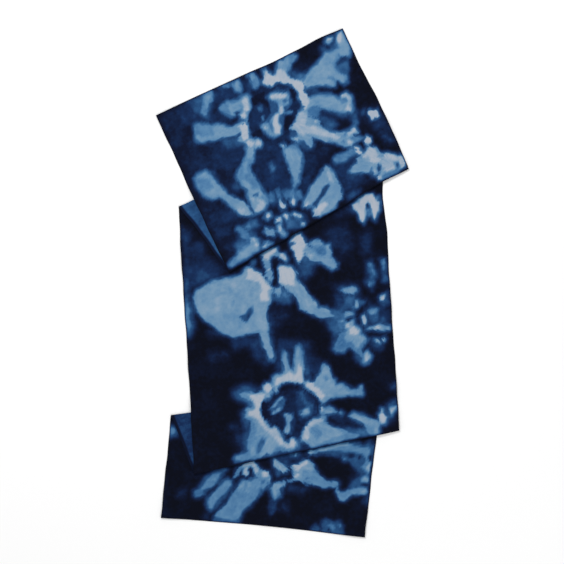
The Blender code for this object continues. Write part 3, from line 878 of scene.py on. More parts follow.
FOURTH_MARKS = petals(
    (0.11, (-46, 826), (-32, 800), (-6, 791), (24, 790), (42, 812), (46, 836), (22, 848), (8, 872),
     (-8, 884), (-24, 862), (-46, 842)),
    (0.19, (6, 796), (20, 793), (38, 812), (42, 834), (24, 844), (8, 846)),
    (0.20, (-20, 832), (2, 832), (2, 850), (-6, 872), (-22, 868), (-16, 850)),
    (0.31, (-42, 824), (-32, 812), (-22, 803), (-12, 808), (-20, 828), (-34, 834)),
    (0.31, (12, 800), (17, 797), (22, 812), (34, 820), (32, 836), (16, 842), (8, 832), (22, 822)),
    (0.51, (-37, 776), (-34, 769), (-26, 765), (-16, 763), (-14, 757), (-15, 742), (-15, 730),
     (-11, 724), (-7, 728), (-5, 740), (-3, 755), (3, 758), (8, 728), (11, 717), (15, 714), (19, 722),
     (24, 740), (20, 776), (40, 781), (44, 772), (52, 768), (54, 754), (57, 750), (64, 754), (68, 768),
     (76, 778), (76, 787), (92, 788), (104, 796), (112, 799), (118, 793), (121, 792), (124, 804),
     (122, 808), (96, 806), (66, 811), (54, 822), (46, 812), (40, 800), (28, 795), (18, 784), (6, 780),
     (-12, 780), (-22, 784), (-28, 796), (-38, 788)),
    (0.51, (-92, 794), (-84, 790), (-58, 794), (-51, 796), (-54, 786), (-48, 777), (-38, 778),
     (-34, 786), (-38, 804), (-46, 806), (-54, 814), (-58, 824), (-40, 860), (-34, 856), (-28, 858),
     (-18, 882), (-12, 885), (-6, 876), (0, 876), (8, 894), (6, 898), (2, 890), (-2, 899), (-38, 900),
     (-60, 908), (-92, 912), (-104, 912), (-108, 907), (-104, 902), (-82, 897), (-84, 888), (-80, 862),
     (-74, 844), (-86, 836), (-80, 821), (-70, 820), (-72, 808), (-90, 803)),
    (0.51, (46, 830), (49, 816), (53, 816), (54, 826), (64, 824), (76, 834), (72, 837), (58, 838),
     (53, 850), (60, 858), (76, 862), (94, 872), (112, 877), (110, 880), (70, 888), (34, 895),
     (24, 893), (10, 884), (12, 866), (32, 846), (46, 842)),
    (0.65, (-33, 778), (-32, 771), (-26, 767), (-11, 762), (-13, 742), (-11, 730), (-9, 734), (-6, 756),
     (4, 762), (8, 752), (10, 730), (13, 725), (21, 745), (19, 770), (22, 778), (40, 780), (43, 772),
     (52, 766), (58, 755), (64, 756), (72, 780), (76, 792), (84, 789), (96, 799), (106, 803), (72, 806),
     (52, 818), (42, 805), (28, 793), (14, 780), (-22, 780), (-29, 794)),
    (0.65, (-52, 787), (-48, 780), (-40, 779), (-34, 785), (-47, 800), (-50, 810), (-60, 824),
     (-50, 848), (-38, 863), (-34, 858), (-22, 874), (-20, 884), (-14, 888), (-6, 878), (-2, 878),
     (2, 884), (-2, 896), (-34, 890), (-44, 902), (-60, 905), (-62, 901), (-52, 880), (-48, 874),
     (-60, 868), (-69, 870), (-66, 856), (-74, 838), (-82, 834), (-78, 824), (-68, 822), (-68, 808),
     (-81, 797), (-50, 796)),
    (0.65, (12, 882), (14, 868), (26, 856), (36, 848), (48, 846), (54, 857), (68, 861), (88, 874),
     (70, 878), (44, 888), (30, 892)),
    (0.84, (-66, 828), (-60, 838), (-50, 850), (-41, 862), (-36, 858), (-31, 858), (-28, 870),
     (-20, 883), (-14, 889), (-6, 885), (-4, 892), (-16, 894), (-28, 886), (-36, 875), (-46, 865),
     (-58, 851), (-68, 838)),
    (0.84, (14, 880), (15, 868), (22, 856), (34, 848), (46, 843), (50, 848), (38, 854), (28, 860),
     (22, 868), (20, 882)),
    (0.50, (56, 773), (62, 772), (64, 778), (58, 780)),
    (0.50, (28, 862), (36, 859), (42, 860), (48, 868), (48, 876), (40, 878), (29, 868)),
    (0.97, (-30, 781), (-27, 772), (-14, 767), (-8, 766), (-5, 761), (6, 768), (10, 762), (11, 752),
     (14, 748), (18, 756), (18, 781), (8, 778), (-4, 776), (-16, 777), (-28, 783)),
    (0.97, (24, 783), (36, 781), (38, 788), (46, 792), (50, 800), (56, 805), (51, 812), (46, 810),
     (38, 797), (29, 791)),
    (0.97, (-50, 788), (-46, 781), (-40, 781), (-35, 786), (-44, 796)),
    (0.97, (-75, 800), (-66, 797), (-49, 798), (-52, 808), (-58, 812), (-61, 826), (-52, 847),
     (-50, 857), (-66, 838), (-77, 833), (-77, 828), (-67, 824), (-67, 811)),
    (0.66, (-46, 798), (-40, 797), (-38, 803), (-43, 806)),
    (0.32, (-66, 900), (-66, 886), (-58, 874), (-53, 879), (-56, 889), (-63, 900)),
    (0.63, (-77, 892), (-71, 890), (-70, 902), (-78, 904)),
    (0.86, (-36, 862), (-32, 861), (-33, 867), (-35, 867)),
    (0.95, (-31, 872), (-26, 875), (-21, 886), (-25, 887)),
    (0.97, (-8, 887), (-6, 881), (-3, 879), (1, 884), (-3, 892)),
    (0.92, (47, 829), (50, 825), (53, 829), (50, 833)),
    (0.66, (52, 829), (70, 832), (68, 836), (54, 834)),
    (0.92, (16, 879), (17, 868), (20, 863), (25, 872), (24, 879)),
    (0.86, (27, 857), (36, 850), (45, 848), (42, 852), (32, 856)),
    (0.48, (80, 838), (83, 834), (88, 838), (85, 842)),
    (0.51, (97, 843), (103, 838), (116, 841), (136, 850), (146, 852), (150, 857), (147, 877),
     (140, 880), (128, 875), (122, 858), (104, 849)),
    (0.66, (100, 843), (106, 841), (128, 850), (145, 855), (147, 864), (146, 874), (142, 877),
     (138, 865), (128, 860), (116, 854), (104, 848)),
    (0.52, (148, 842), (152, 838), (153, 832), (158, 834), (158, 841), (165, 849), (160, 860),
     (150, 861)),
    (0.82, (150, 842), (158, 842), (163, 850), (157, 859), (151, 858)),
    (0.97, (150, 846), (155, 841), (161, 848), (158, 856), (152, 856)),
    (0.82, (153, 833), (158, 834), (157, 839), (153, 838)),
    (0.50, (166, 835), (168, 831), (180, 829), (180, 834), (172, 848), (168, 840)),
    (0.82, (168, 835), (177, 833), (171, 843)),
    (0.06, (-57, 814), (-51, 809), (-45, 820), (-45, 838), (-52, 842), (-57, 832)),
    (0.62, (-38, 820), (-30, 815), (-21, 803), (-17, 806), (-26, 812), (-31, 820)),
    (0.64, (-32, 830), (-29, 825), (-24, 824), (-23, 829)),
    (0.62, (-39, 832), (-35, 828), (-32, 830), (-35, 833)),
    (0.62, (-16, 833), (-11, 833), (-3, 838), (-3, 844), (-8, 848), (-8, 862), (-12, 870), (-19, 864),
     (-12, 852)),
    (0.76, (-16, 864), (-13, 862), (-12, 866), (-15, 867)),
    (0.62, (16, 830), (20, 826), (26, 825), (28, 835), (20, 836)),
    (0.78, (20, 829), (24, 828), (23, 832)),
    (0.60, (13, 836), (18, 834), (20, 839)),
)

# The sun at the bottom panel's upper end, partly under the fold.
FIFTH_CLOUDS = petals(
    (0.31, (-180, 1064), (-170, 1066), (-165, 1074), (-168, 1080), (-180, 1084)),
    (0.17, (36, 1144), (70, 1149), (62, 1158), (40, 1156)),
    (0.15, (146, 1130), (152, 1118), (164, 1114), (164, 1130)),
    (0.31, (172, 1154), (179, 1152), (179, 1166), (173, 1164)),
    (0.30, (34, 1096), (42, 1090), (52, 1092), (46, 1098), (36, 1100)),
    (0.24, (4, 1100), (20, 1096), (36, 1104), (34, 1126), (12, 1124)),
    (0.18, (-154, 1186), (-150, 1177), (-141, 1173), (-146, 1184)),
    (0.17, (-104, 1214), (-100, 1212), (-99, 1220), (-104, 1220)),
    (0.14, (24, 1180), (36, 1178), (38, 1190), (26, 1190)),
)
FIFTH_MARKS = petals(
    (0.48, (-178, 1068), (-172, 1067), (-168, 1073), (-172, 1079), (-178, 1079)),
    (0.27, (-74, 1131), (-84, 1132), (-98, 1140), (-110, 1152), (-120, 1172), (-127, 1175),
     (-127, 1182), (-120, 1184), (-112, 1182), (-106, 1172), (-86, 1156)),
    (0.50, (-84, 1138), (-96, 1142), (-110, 1158), (-115, 1173), (-106, 1167), (-97, 1164),
     (-87, 1150)),
    (0.64, (-96, 1149), (-93, 1147), (-92, 1151), (-95, 1152)),
    (0.26, (-60, 1148), (-70, 1146), (-82, 1154), (-96, 1178), (-104, 1185), (-102, 1202), (-96, 1206),
     (-88, 1202), (-72, 1178), (-60, 1158)),
    (0.52, (-64, 1150), (-72, 1151), (-87, 1166), (-99, 1184), (-99, 1201), (-91, 1202), (-86, 1186),
     (-73, 1172), (-62, 1155)),
    (0.30, (-50, 1150), (-46, 1144), (-34, 1144), (-28, 1138), (2, 1138), (6, 1152), (-8, 1162),
     (-24, 1192), (-38, 1202), (-42, 1224), (-88, 1224), (-84, 1212), (-76, 1206), (-60, 1170)),
    (0.40, (-127, 1174), (-120, 1171), (-112, 1172), (-108, 1178), (-116, 1184), (-124, 1184)),
    (0.52, (-45, 1148), (-40, 1145), (-30, 1148), (-24, 1142), (-6, 1142), (1, 1150), (-6, 1158),
     (-12, 1156), (-18, 1178), (-38, 1198), (-46, 1217), (-64, 1218), (-86, 1214), (-74, 1198),
     (-67, 1188), (-54, 1166)),
    (0.64, (-49, 1169), (-48, 1160), (-42, 1149), (-41, 1162), (-44, 1168)),
    (0.62, (-33, 1158), (-32, 1150), (-29, 1149), (-30, 1156)),
    (0.62, (-38, 1164), (-34, 1162), (-32, 1167)),
    (0.34, (-11, 1142), (-6, 1142), (-6, 1148), (-10, 1150)),
    (0.53, (-60, 1143), (-54, 1126), (-50, 1120), (-30, 1112), (-22, 1116), (-14, 1124), (-2, 1127),
     (4, 1134), (6, 1147), (-2, 1146), (-22, 1137), (-30, 1122), (-35, 1124), (-34, 1134), (-38, 1140),
     (-44, 1136), (-47, 1128), (-56, 1144)),
    (0.84, (-46, 1120), (-30, 1114), (-25, 1115), (-16, 1129), (-22, 1132), (-27, 1122), (-33, 1119),
     (-45, 1123)),
    (0.84, (-41, 1124), (-37, 1123), (-35, 1136), (-40, 1139), (-43, 1134)),
    (0.74, (-12, 1128), (0, 1128), (1, 1135), (-4, 1139), (-11, 1137)),
    (0.97, (-10, 1129), (-3, 1129), (-2, 1136), (-8, 1138)),
    (0.10, (-35, 1127), (-31, 1123), (-27, 1127), (-25, 1138), (-31, 1138)),
    (0.68, (1, 1141), (4, 1140), (4, 1143)),
    (0.62, (7, 1104), (12, 1104), (24, 1111), (33, 1119), (33, 1127), (24, 1127), (8, 1117)),
    (0.76, (8, 1113), (9, 1106), (14, 1109), (13, 1117)),
    (0.74, (17, 1112), (23, 1114), (22, 1122), (17, 1120)),
    (0.74, (25, 1121), (29, 1119), (32, 1124), (27, 1127)),
    (0.32, (15, 1129), (19, 1128), (18, 1132)),
    (0.62, (41, 1095), (43, 1091), (48, 1091), (46, 1095)),
    (0.52, (38, 1112), (52, 1106), (60, 1099), (67, 1099), (80, 1110), (90, 1125), (104, 1133),
     (120, 1131), (124, 1134), (124, 1146), (128, 1151), (134, 1150), (150, 1142), (160, 1138),
     (173, 1137), (176, 1146), (172, 1151), (148, 1153), (136, 1165), (130, 1164), (121, 1152),
     (122, 1142), (96, 1145), (78, 1141), (70, 1145), (58, 1138), (36, 1140), (46, 1134)),
    (0.66, (42, 1112), (60, 1102), (67, 1101), (79, 1116), (76, 1119), (58, 1116), (58, 1132),
     (66, 1140), (62, 1141), (47, 1135)),
    (0.96, (42, 1113), (45, 1110), (54, 1110), (64, 1101), (66, 1108), (56, 1112), (51, 1121)),
    (0.94, (47, 1131), (49, 1127), (53, 1127), (52, 1132)),
    (0.36, (66, 1132), (70, 1132), (69, 1135)),
    (0.66, (165, 1145), (170, 1141), (173, 1145), (168, 1147)),
    (0.27, (66, 1083), (88, 1076), (106, 1070), (122, 1062), (150, 1062), (158, 1066), (170, 1058),
     (177, 1064), (177, 1130), (160, 1138), (144, 1144), (150, 1130), (164, 1116), (148, 1104),
     (140, 1095), (128, 1095), (124, 1086), (92, 1085), (78, 1091)),
    (0.50, (96, 1078), (114, 1069), (124, 1065), (138, 1065), (154, 1070), (168, 1067), (173, 1076),
     (166, 1087), (160, 1079), (130, 1078), (104, 1080)),
    (0.52, (64, 1089), (68, 1082), (82, 1082), (80, 1087), (70, 1093)),
    (0.76, (67, 1088), (69, 1084), (75, 1084), (70, 1091)),
    (0.68, (80, 1080), (100, 1074), (132, 1064), (134, 1067), (104, 1077), (84, 1083)),
    (0.46, (126, 1091), (131, 1091), (130, 1094)),
    (0.12, (133, 1085), (144, 1083), (146, 1087), (140, 1091)),
    (0.14, (153, 1085), (156, 1082), (158, 1087), (154, 1089)),
    (0.08, (171, 1083), (176, 1083), (176, 1091), (172, 1090)),
    (0.51, (167, 1087), (175, 1096), (175, 1113), (169, 1112), (162, 1103), (166, 1097)),
    (0.80, (169, 1104), (173, 1095), (176, 1104), (173, 1111)),
    (0.52, (162, 1123), (166, 1119), (173, 1117), (175, 1129), (162, 1129)),
    (0.74, (165, 1122), (174, 1121), (174, 1127), (166, 1126)),
    (0.10, (162, 1134), (168, 1131), (175, 1132), (172, 1136)),
    (0.28, (6, 1158), (28, 1158), (27, 1170), (14, 1180), (8, 1170)),
    (0.20, (9, 1176), (19, 1176), (17, 1190), (12, 1199), (9, 1190)),
    (0.51, (9, 1147), (20, 1144), (30, 1139), (34, 1142), (24, 1158), (26, 1164), (15, 1176),
     (10, 1166)),
    (0.67, (12, 1149), (27, 1147), (18, 1158), (20, 1163), (15, 1170), (12, 1163)),
    (0.27, (103, 1204), (108, 1202), (124, 1206), (134, 1203), (139, 1208), (139, 1224), (103, 1224)),
    (0.44, (111, 1212), (118, 1207), (123, 1210), (126, 1215), (122, 1217), (117, 1212)),
    (0.46, (132, 1207), (136, 1207), (136, 1213)),
    (0.10, (113, 1219), (117, 1216), (119, 1221)),
    (0.27, (86, 1220), (92, 1212), (99, 1218), (97, 1224), (88, 1224)),
)

SUNS = (
    Burst((8, 84), 0.34, FIRST_CLOUDS, FIRST_MARKS),
    Burst((-45, 290), 0.36, SECOND_CLOUDS, SECOND_MARKS),
    Burst((158, 255), 0.30, (), CORNER_MARKS),
    Burst((0, 560), 0.28, THIRD_CLOUDS, THIRD_MARKS),
    Burst((132, 675), 0.30, SIDE_CLOUDS, SIDE_MARKS),
    Burst((-5, 828), 0.30, FOURTH_CLOUDS, FOURTH_MARKS),
    Burst((5, 1100), 0.21, FIFTH_CLOUDS, FIFTH_MARKS),
)


@dataclass(frozen=True)
class Sway:
    """A wave that the dyed pattern wanders by, sideways to its heading, in mm."""

    wavelength: float
    heading_degrees: float
    reach: float


@dataclass(frozen=True)
class DyeChart:
    """The dyed pattern on the flat strip, in mm.

    Args:
        halo_reach: how far a halo fades outside its mark.
        cloud_fade: how far a cloud fades, inside its outline and outside it.
        overlap: how far the edge of a mark's tone reaches, outside its outline and inside it.
        unmarked_depth: the depth to start from, before any mark is laid.
        hub_radius: how near a hub the rays still have their full length as directions.
        ray_unit: the length along a ray that the streaks take for one radian round it.
        crease_painted_shade: how much darker the painted shade makes the cloth on a crease, as a share.
        crease_reach: how far from a crease that fades out.
        sways: the waves that keep outlines from looking ruled.
    """

    halo_reach: float = 9.0
    cloud_fade: tuple[float, float] = (7.0, 13.0)
    overlap: tuple[float, float] = (2.4, 1.4)
    unmarked_depth: float = -30.0
    hub_radius: float = 1.0
    ray_unit: float = 170.0
    crease_painted_shade: float = 0.8
    crease_reach: float = 6.0
    sways: tuple[Sway, ...] = (
        Sway(43.0, 125.0, 0.5),
        Sway(31.0, 20.0, 0.45),
        Sway(23.0, 95.0, 0.4),
        Sway(17.0, 160.0, 0.35),
        Sway(12.0, 60.0, 0.3),
    )

    def wandered(self, points: np.ndarray) -> np.ndarray:
        """Return points moved by the sum of the sways.

        Args:
            points: (across, along) in mm, of shape (n, 2).

        Returns:
            The moved points, in the same shape.
        """
        moved = points.copy()
        for sway in self.sways:
            heading = math.radians(sway.heading_degrees)
            way = np.array((math.cos(heading), math.sin(heading)))
            swing = np.sin(points @ way * math.tau / sway.wavelength + sway.wavelength)
            moved += np.multiply.outer(sway.reach * swing, (-way[1], way[0]))
        return moved

    def laid_out(self, points: np.ndarray) -> np.ndarray:
        """Return points moved as the pulls move the cloth, because the chart shows it pulled.

        Args:
            points: (across, along) in mm, of shape (n, 2).

        Returns:
            The moved points, in the same shape.
        """
        moved = points.copy()
        for pull in PULLS:
            near = nearness(points * MM, (pull.across, pull.along), pull.radius)
            moved += np.multiply.outer(near, (pull.pull_across / MM, pull.pull_along / MM))
        return moved

    def ray_frame(self, points: np.ndarray) -> np.ndarray:
        """Return each point's direction and distance from the nearest hub, for the streaks.

        Args:
            points: (across, along) in mm, of shape (n, 2).

        Returns:
            An array of shape (n, 3): the direction, and the distance in ray units.
        """
        offsets = np.array([points - sun.hub for sun in SUNS])
        reach = np.hypot(offsets[..., 0], offsets[..., 1])
        nearest = reach.argmin(axis=0), np.arange(len(points))
        way = offsets[nearest] / np.maximum(reach[nearest], self.hub_radius)[:, None]
        return np.column_stack((way, reach[nearest] / self.ray_unit))

    def crease_shade(self, points: np.ndarray) -> np.ndarray:
        """Return what share of its paleness each point keeps, less near a crease, as painted shade.

        Args:
            points: (across, along) in mm, of shape (n, 2).

        Returns:
            An array of n shares.
        """
        kept = np.ones(len(points))
        for crease in CREASES:
            straight = math.cos(math.radians(crease.skew_degrees))
            away = np.abs(points[:, 1] + crease.slope * points[:, 0] - crease.along / MM) * straight
            kept *= 1.0 - self.crease_painted_shade * ease(away, 0.0, self.crease_reach)
        return kept

    def fields(self, points: np.ndarray) -> dict[Field, np.ndarray]:
        """Work out what each point of the flat strip carries.

        Args:
            points: (across, along) in mm, of shape (n, 2).

        Returns:
            The depth inside a mark, the mark's tone and the cloudiness of the ground, both with
            painted shade along the creases, and the direction and distance of the nearest hub.
        """
        wandered = self.wandered(self.laid_out(points))
        depth = np.full(len(points), self.unmarked_depth)
        tone = np.zeros(len(points))
        bare = np.ones(len(points))
        nearest = np.zeros(len(points))
        cloud = np.zeros(len(points))
        outer, inner = self.overlap
        fade_in, fade_out = self.cloud_fade
        for sun in SUNS:
            for patch in sun.clouds:
                reach = ease(-patch.depth(wandered), -fade_in, fade_in + fade_out)
                cloud = np.maximum(cloud, patch.tone * reach)
            for mark in sun.marks:
                inside = mark.depth(wandered)
                nearest = np.where(inside > depth, mark.tone, nearest)
                depth = np.maximum(depth, inside)
                laid = ease(-inside, -inner, outer + inner)
                tone += (mark.tone - tone) * laid
                bare *= 1.0 - laid
                halo = min(sun.halo, mark.tone)
                cloud = np.maximum(cloud, halo * ease(-inside, 0.0, self.halo_reach))
        # Painted shade along the creases darkens the tone and the clouds.
        shade = self.crease_shade(points)
        tone = (tone + bare * nearest) * shade
        cloud *= shade
        return {
            Field.DEPTH: depth,
            Field.TONE: tone,
            Field.CLOUD: cloud,
            Field.RAY: self.ray_frame(points),
        }


@dataclass(frozen=True)
class Row:
    """A row of the sheet's grid, straight across the flat strip.

    Args:
        along: distance along the middle of the strip, in metres.
        slope: how far it moves back for each metre to the right.
        panel: the number of its panel.
        crease: the crease that it is bent round, if any.
        turn: the angle that it has been bent through.
    """

    along: float
    slope: float
    panel: int
    crease: Crease | None = None
    turn: float = 0.0


@dataclass
class ClothSheet:
    """The thin cotton sheet that stands for the folded solid.

    Args:
        row_step: the longest that a face may be along a panel, in metres.
        crease_steps: the number of faces round a crease.
        waver: how far the long edges waver, in metres.
        waver_power: how fast that dies away from the edges.
        waver_waves: its waves, as (radians a metre, phase, share).
        wrinkle_core: how far from its middle a wrinkle is full, as a share of its length.
        wrinkle_fade: how far it then takes to die out.
    """

    plan: FoldPlan = field(default_factory=FoldPlan)
    chart: DyeChart = field(default_factory=DyeChart)
    thickness: float = 0.0008
    columns: int = 112
    row_step: float = 0.0031
    crease_steps: int = 8
    waver: float = 0.00035
    waver_power: int = 6
    waver_waves: tuple[tuple[float, float, float], ...] = ((61.0, 0.0, 1.0), (143.0, 1.7, 0.6))
    wrinkle_core: float = 0.15
    wrinkle_fade: float = 0.35
    sharp_angle_degrees: float = 50.0

    def rows(self) -> list[Row]:
        """Return the grid's rows.

        Returns:
            The rows, from the strip's first end to its last.
        """
        rows: list[Row] = []
        start, start_slope = 0.0, 0.0
        for index in range(len(self.plan.panels)):
            crease = CREASES[index] if index < len(CREASES) else None
            end, end_slope, reach, bend = self.plan.length, 0.0, 0.0, 0.0
            if crease:
                bend = self.plan.radius(crease) / math.cos(math.radians(crease.skew_degrees))
                end, end_slope, reach = crease.along, crease.slope, bend * math.pi / 2
            steps = math.ceil((end - reach - start) / self.row_step)
            for step in range(steps + 1):
                share = step / steps
                along = start + (end - reach - start) * share
                rows.append(Row(along, start_slope + (end_slope - start_slope) * share, index))
            if crease:
                for step in range(1, self.crease_steps):
                    turn = math.pi * step / self.crease_steps
                    along = end + bend * (turn - math.pi / 2)
                    rows.append(Row(along, end_slope, index, crease, turn))
                start, start_slope = end + reach, end_slope
        return rows

    def relief(self, flat: np.ndarray) -> np.ndarray:
        """Return the height of the wrinkles.

        Args:
            flat: points of the flat strip in metres, of shape (n, 2).

        Returns:
            An array of n heights in metres.
        """
        total = np.zeros(len(flat))
        for wrinkle in WRINKLES:
            share, off_line = along_segment(flat, wrinkle.start, wrinkle.end)
            fade = ease(np.abs(share - 0.5), self.wrinkle_core, self.wrinkle_fade)
            total += wrinkle.height * fade * ease(off_line, 0.0, wrinkle.reach)
        return total

    def row_points(self, row: Row, across: np.ndarray) -> tuple[np.ndarray, np.ndarray]:
        """Return a row's points in space, and on the flat strip.

        Args:
            row: the row.
            across: the distances across the strip, in metres.

        Returns:
            Arrays of shape (n, 3) and (n, 2).
        """
        plan, panel = self.plan, self.plan.panels[row.panel]
        along = row.along - across * row.slope
        flat = np.stack((across, along), axis=1)
        ripple = sum(
            share * np.sin(along * rate + phase) for rate, phase, share in self.waver_waves
        )
        edge = np.sign(across) * (np.abs(across) / plan.half_width) ** self.waver_power
        swing = ripple * edge * self.waver
        points = panel.point(across, along) + np.multiply.outer(swing, panel.across)
        if row.crease is None:
            level = plan.height(row.panel, points) + self.relief(flat)
        else:
            middle, way, inward = panel.crease_line(row.crease)
            foot = middle + np.multiply.outer((points - middle) @ way, way)
            back = plan.radius(row.crease) * (math.pi / 2 - math.sin(row.turn))
            points = foot + inward * back
            above = plan.height(row.panel, points)
            below = plan.height(row.panel + 1, points)
            level = (above + below) / 2 + (above - below) / 2 * math.cos(row.turn)
        return np.column_stack((plan.pulled(points), level)), flat

    def grid(self) -> tuple[bpy.types.Mesh, np.ndarray, np.ndarray]:
        """Make the sheet as an open surface through the middle of its thickness.

        Returns:
            The mesh, each vertex's point on the flat strip in metres, and its panel's number.
        """
        rows = self.rows()
        across = np.linspace(-self.plan.half_width, self.plan.half_width, self.columns + 1)
        placed, flats = zip(*(self.row_points(row, across) for row in rows))
        shape = bmesh.new()
        bmesh.ops.create_grid(
            shape, x_segments=self.columns, y_segments=len(rows) - 1, size=1.0
        )
        flat = np.zeros((len(shape.verts), 2))
        panel = np.zeros(len(shape.verts), int)
        shape.verts.index_update()
        for vertex in shape.verts:
            column = round((vertex.co.x + 1.0) / 2 * self.columns)
            row = round((1.0 - vertex.co.y) / 2 * (len(rows) - 1))
            vertex.co = placed[row][column]
            flat[vertex.index] = flats[row][column]
            panel[vertex.index] = rows[row].panel
        layer = shape.loops.layers.uv.new(PLAN_UV)
        for face in shape.faces:
            for loop in face.loops:
                loop[layer].uv = flat[loop.vert.index]
        mesh = bpy.data.meshes.new(SHEET_NAME)
        shape.to_mesh(mesh)
        shape.free()
        return mesh, flat, panel

    def thickened(self, surface: bpy.types.Mesh) -> bpy.types.Mesh:
        """Give the open surface the cotton's thickness, half of it to each side.

        Args:
            surface: the open surface, which is removed.

        Returns:
            The closed sheet, with the surface's vertices first for one side, then for the other.
        """
        stand_in = in_scene("sheet_surface", surface)
        solid = stand_in.modifiers.new("thickness", "SOLIDIFY")
        solid.thickness = self.thickness
        solid.offset = 0.0
        solid.use_even_offset = True
        graph = bpy.context.evaluated_depsgraph_get()
        mesh = bpy.data.meshes.new_from_object(stand_in.evaluated_get(graph))
        bpy.data.objects.remove(stand_in, do_unlink=True)
        bpy.data.meshes.remove(surface)
        mesh.name = SHEET_NAME
        return mesh

    def centred(self, mesh: bpy.types.Mesh) -> None:
        """Put the middle of the sheet's footprint over the origin, and the sheet on the floor.

        Args:
            mesh: the closed sheet.
        """
        places = vertex_places(mesh)
        low, high = places.min(axis=0), places.max(axis=0)
        places -= np.array(((low[0] + high[0]) / 2, (low[1] + high[1]) / 2, low[2]))
        mesh.vertices.foreach_set("co", places.ravel())
        mesh.update()

    def carry(self, mesh: bpy.types.Mesh, name: Field, numbers: np.ndarray) -> None:
        """Store a number or a vector for each vertex, for the material to read.

        Args:
            mesh: the closed sheet.
            name: what the numbers are.
            numbers: an array of n numbers, or of shape (n, 3).
        """
        kind, key = ("FLOAT", "value") if numbers.ndim == 1 else ("FLOAT_VECTOR", "vector")
        made = mesh.attributes.new(name.value, kind, "POINT")
        made.data.foreach_set(key, numbers.astype(np.float32).ravel())

    def face_side(self, mesh: bpy.types.Mesh, panel: np.ndarray) -> np.ndarray:
        """Return which vertices are on the cloth's dyed face, the upper side of its top panel.

        Args:
            mesh: the closed sheet.
            panel: the number of the panel of each vertex of its open surface.

        Returns:
            1 on the face and 0 on the back, for each vertex of the sheet.
        """
        heights, count = vertex_places(mesh)[:, 2], len(panel)
        lead = np.median((heights[:count] - heights[count:])[panel == TOP])
        return np.repeat((1.0, 0.0) if lead > 0.0 else (0.0, 1.0), count)

    def build(self, material: bpy.types.Material) -> bpy.types.Object:
        """Make the sheet as one piece.

        Args:
            material: the dyed cotton.

        Returns:
            The sheet's object, at the origin, with its place in its mesh.
        """
        self.plan.lay_out()
        surface, flat, panel = self.grid()
        mesh = self.thickened(surface)
        for name, numbers in self.chart.fields(flat / MM).items():
            self.carry(mesh, name, np.concatenate((numbers, numbers)))
        self.carry(mesh, Field.FACE, self.face_side(mesh, panel))
        self.centred(mesh)
        mesh.materials.append(material)
        mesh.shade_smooth()
        mesh.set_sharp_from_angle(angle=math.radians(self.sharp_angle_degrees))
        return in_scene(SHEET_NAME, mesh)


def linear(display: tuple[int, int, int]) -> tuple[float, float, float, float]:
    """Return the linear colour of a display colour, by the usual display curve.

    Args:
        display: red, green and blue, from 0 to 255.

    Returns:
        The colour, with an alpha of 1.
    """
    red, green, blue = (
        s / 12.92 if s <= 0.04045 else ((s + 0.055) / 1.055) ** 2.4
        for s in (number / 255 for number in display)
    )
    return red, green, blue, 1.0


class Value:
    """A node's output. Arithmetic on it adds Math nodes to its shader."""

    def __init__(self, shader: "Shader", socket: bpy.types.NodeSocket) -> None:
        """Wrap a socket."""
        self.shader = shader
        self.socket = socket

    def _with(self, operation: str, *values: Any) -> "Value":
        """Return a Math node's result on this and other values."""
        inputs = dict(enumerate(values))
        return self.shader.add("ShaderNodeMath", {"operation": operation}, inputs)

    def __add__(self, other: Any) -> "Value":
        """Return the sum."""
        return self._with("ADD", self, other)

    __radd__ = __add__

    def __sub__(self, other: Any) -> "Value":
        """Return the difference."""
        return self._with("SUBTRACT", self, other)

    def __rsub__(self, other: Any) -> "Value":
        """Return the difference, taken from a number."""
        return self._with("SUBTRACT", other, self)

    def __mul__(self, other: Any) -> "Value":
        """Return the product."""
        return self._with("MULTIPLY", self, other)

    __rmul__ = __mul__

    def __truediv__(self, other: Any) -> "Value":
        """Return the quotient."""
        return self._with("DIVIDE", self, other)

    def abs(self) -> "Value":
        """Return the absolute value."""
        return self._with("ABSOLUTE", self)

    def sin(self) -> "Value":
        """Return the sine."""
        return self._with("SINE", self)

    def least(self, other: Any) -> "Value":
        """Return the smaller of two values."""
        return self._with("MINIMUM", self, other)

    def most(self, other: Any) -> "Value":
        """Return the larger of two values."""
        return self._with("MAXIMUM", self, other)

    def above(self, other: Any) -> "Value":
        """Return 1 where this is the larger, and 0 elsewhere."""
        return self._with("GREATER_THAN", self, other)

    def toward(self, other: Any, share: Any) -> "Value":
        """Return this value moved towards another by a share."""
        return self + (other - self) * share

    def rise(self, low: Any, high: Any) -> "Value":
        """Return a smooth rise from 0 at low to 1 at high."""
        share = ((self - low) / (high - low)).most(0.0).least(1.0)
        return share * share * (3.0 - 2.0 * share)

    def rise_from(self, least: float, low: Any, high: Any) -> "Value":
        """Return a smooth rise from least at low to 1 at high."""
        return least + (1.0 - least) * self.rise(low, high)


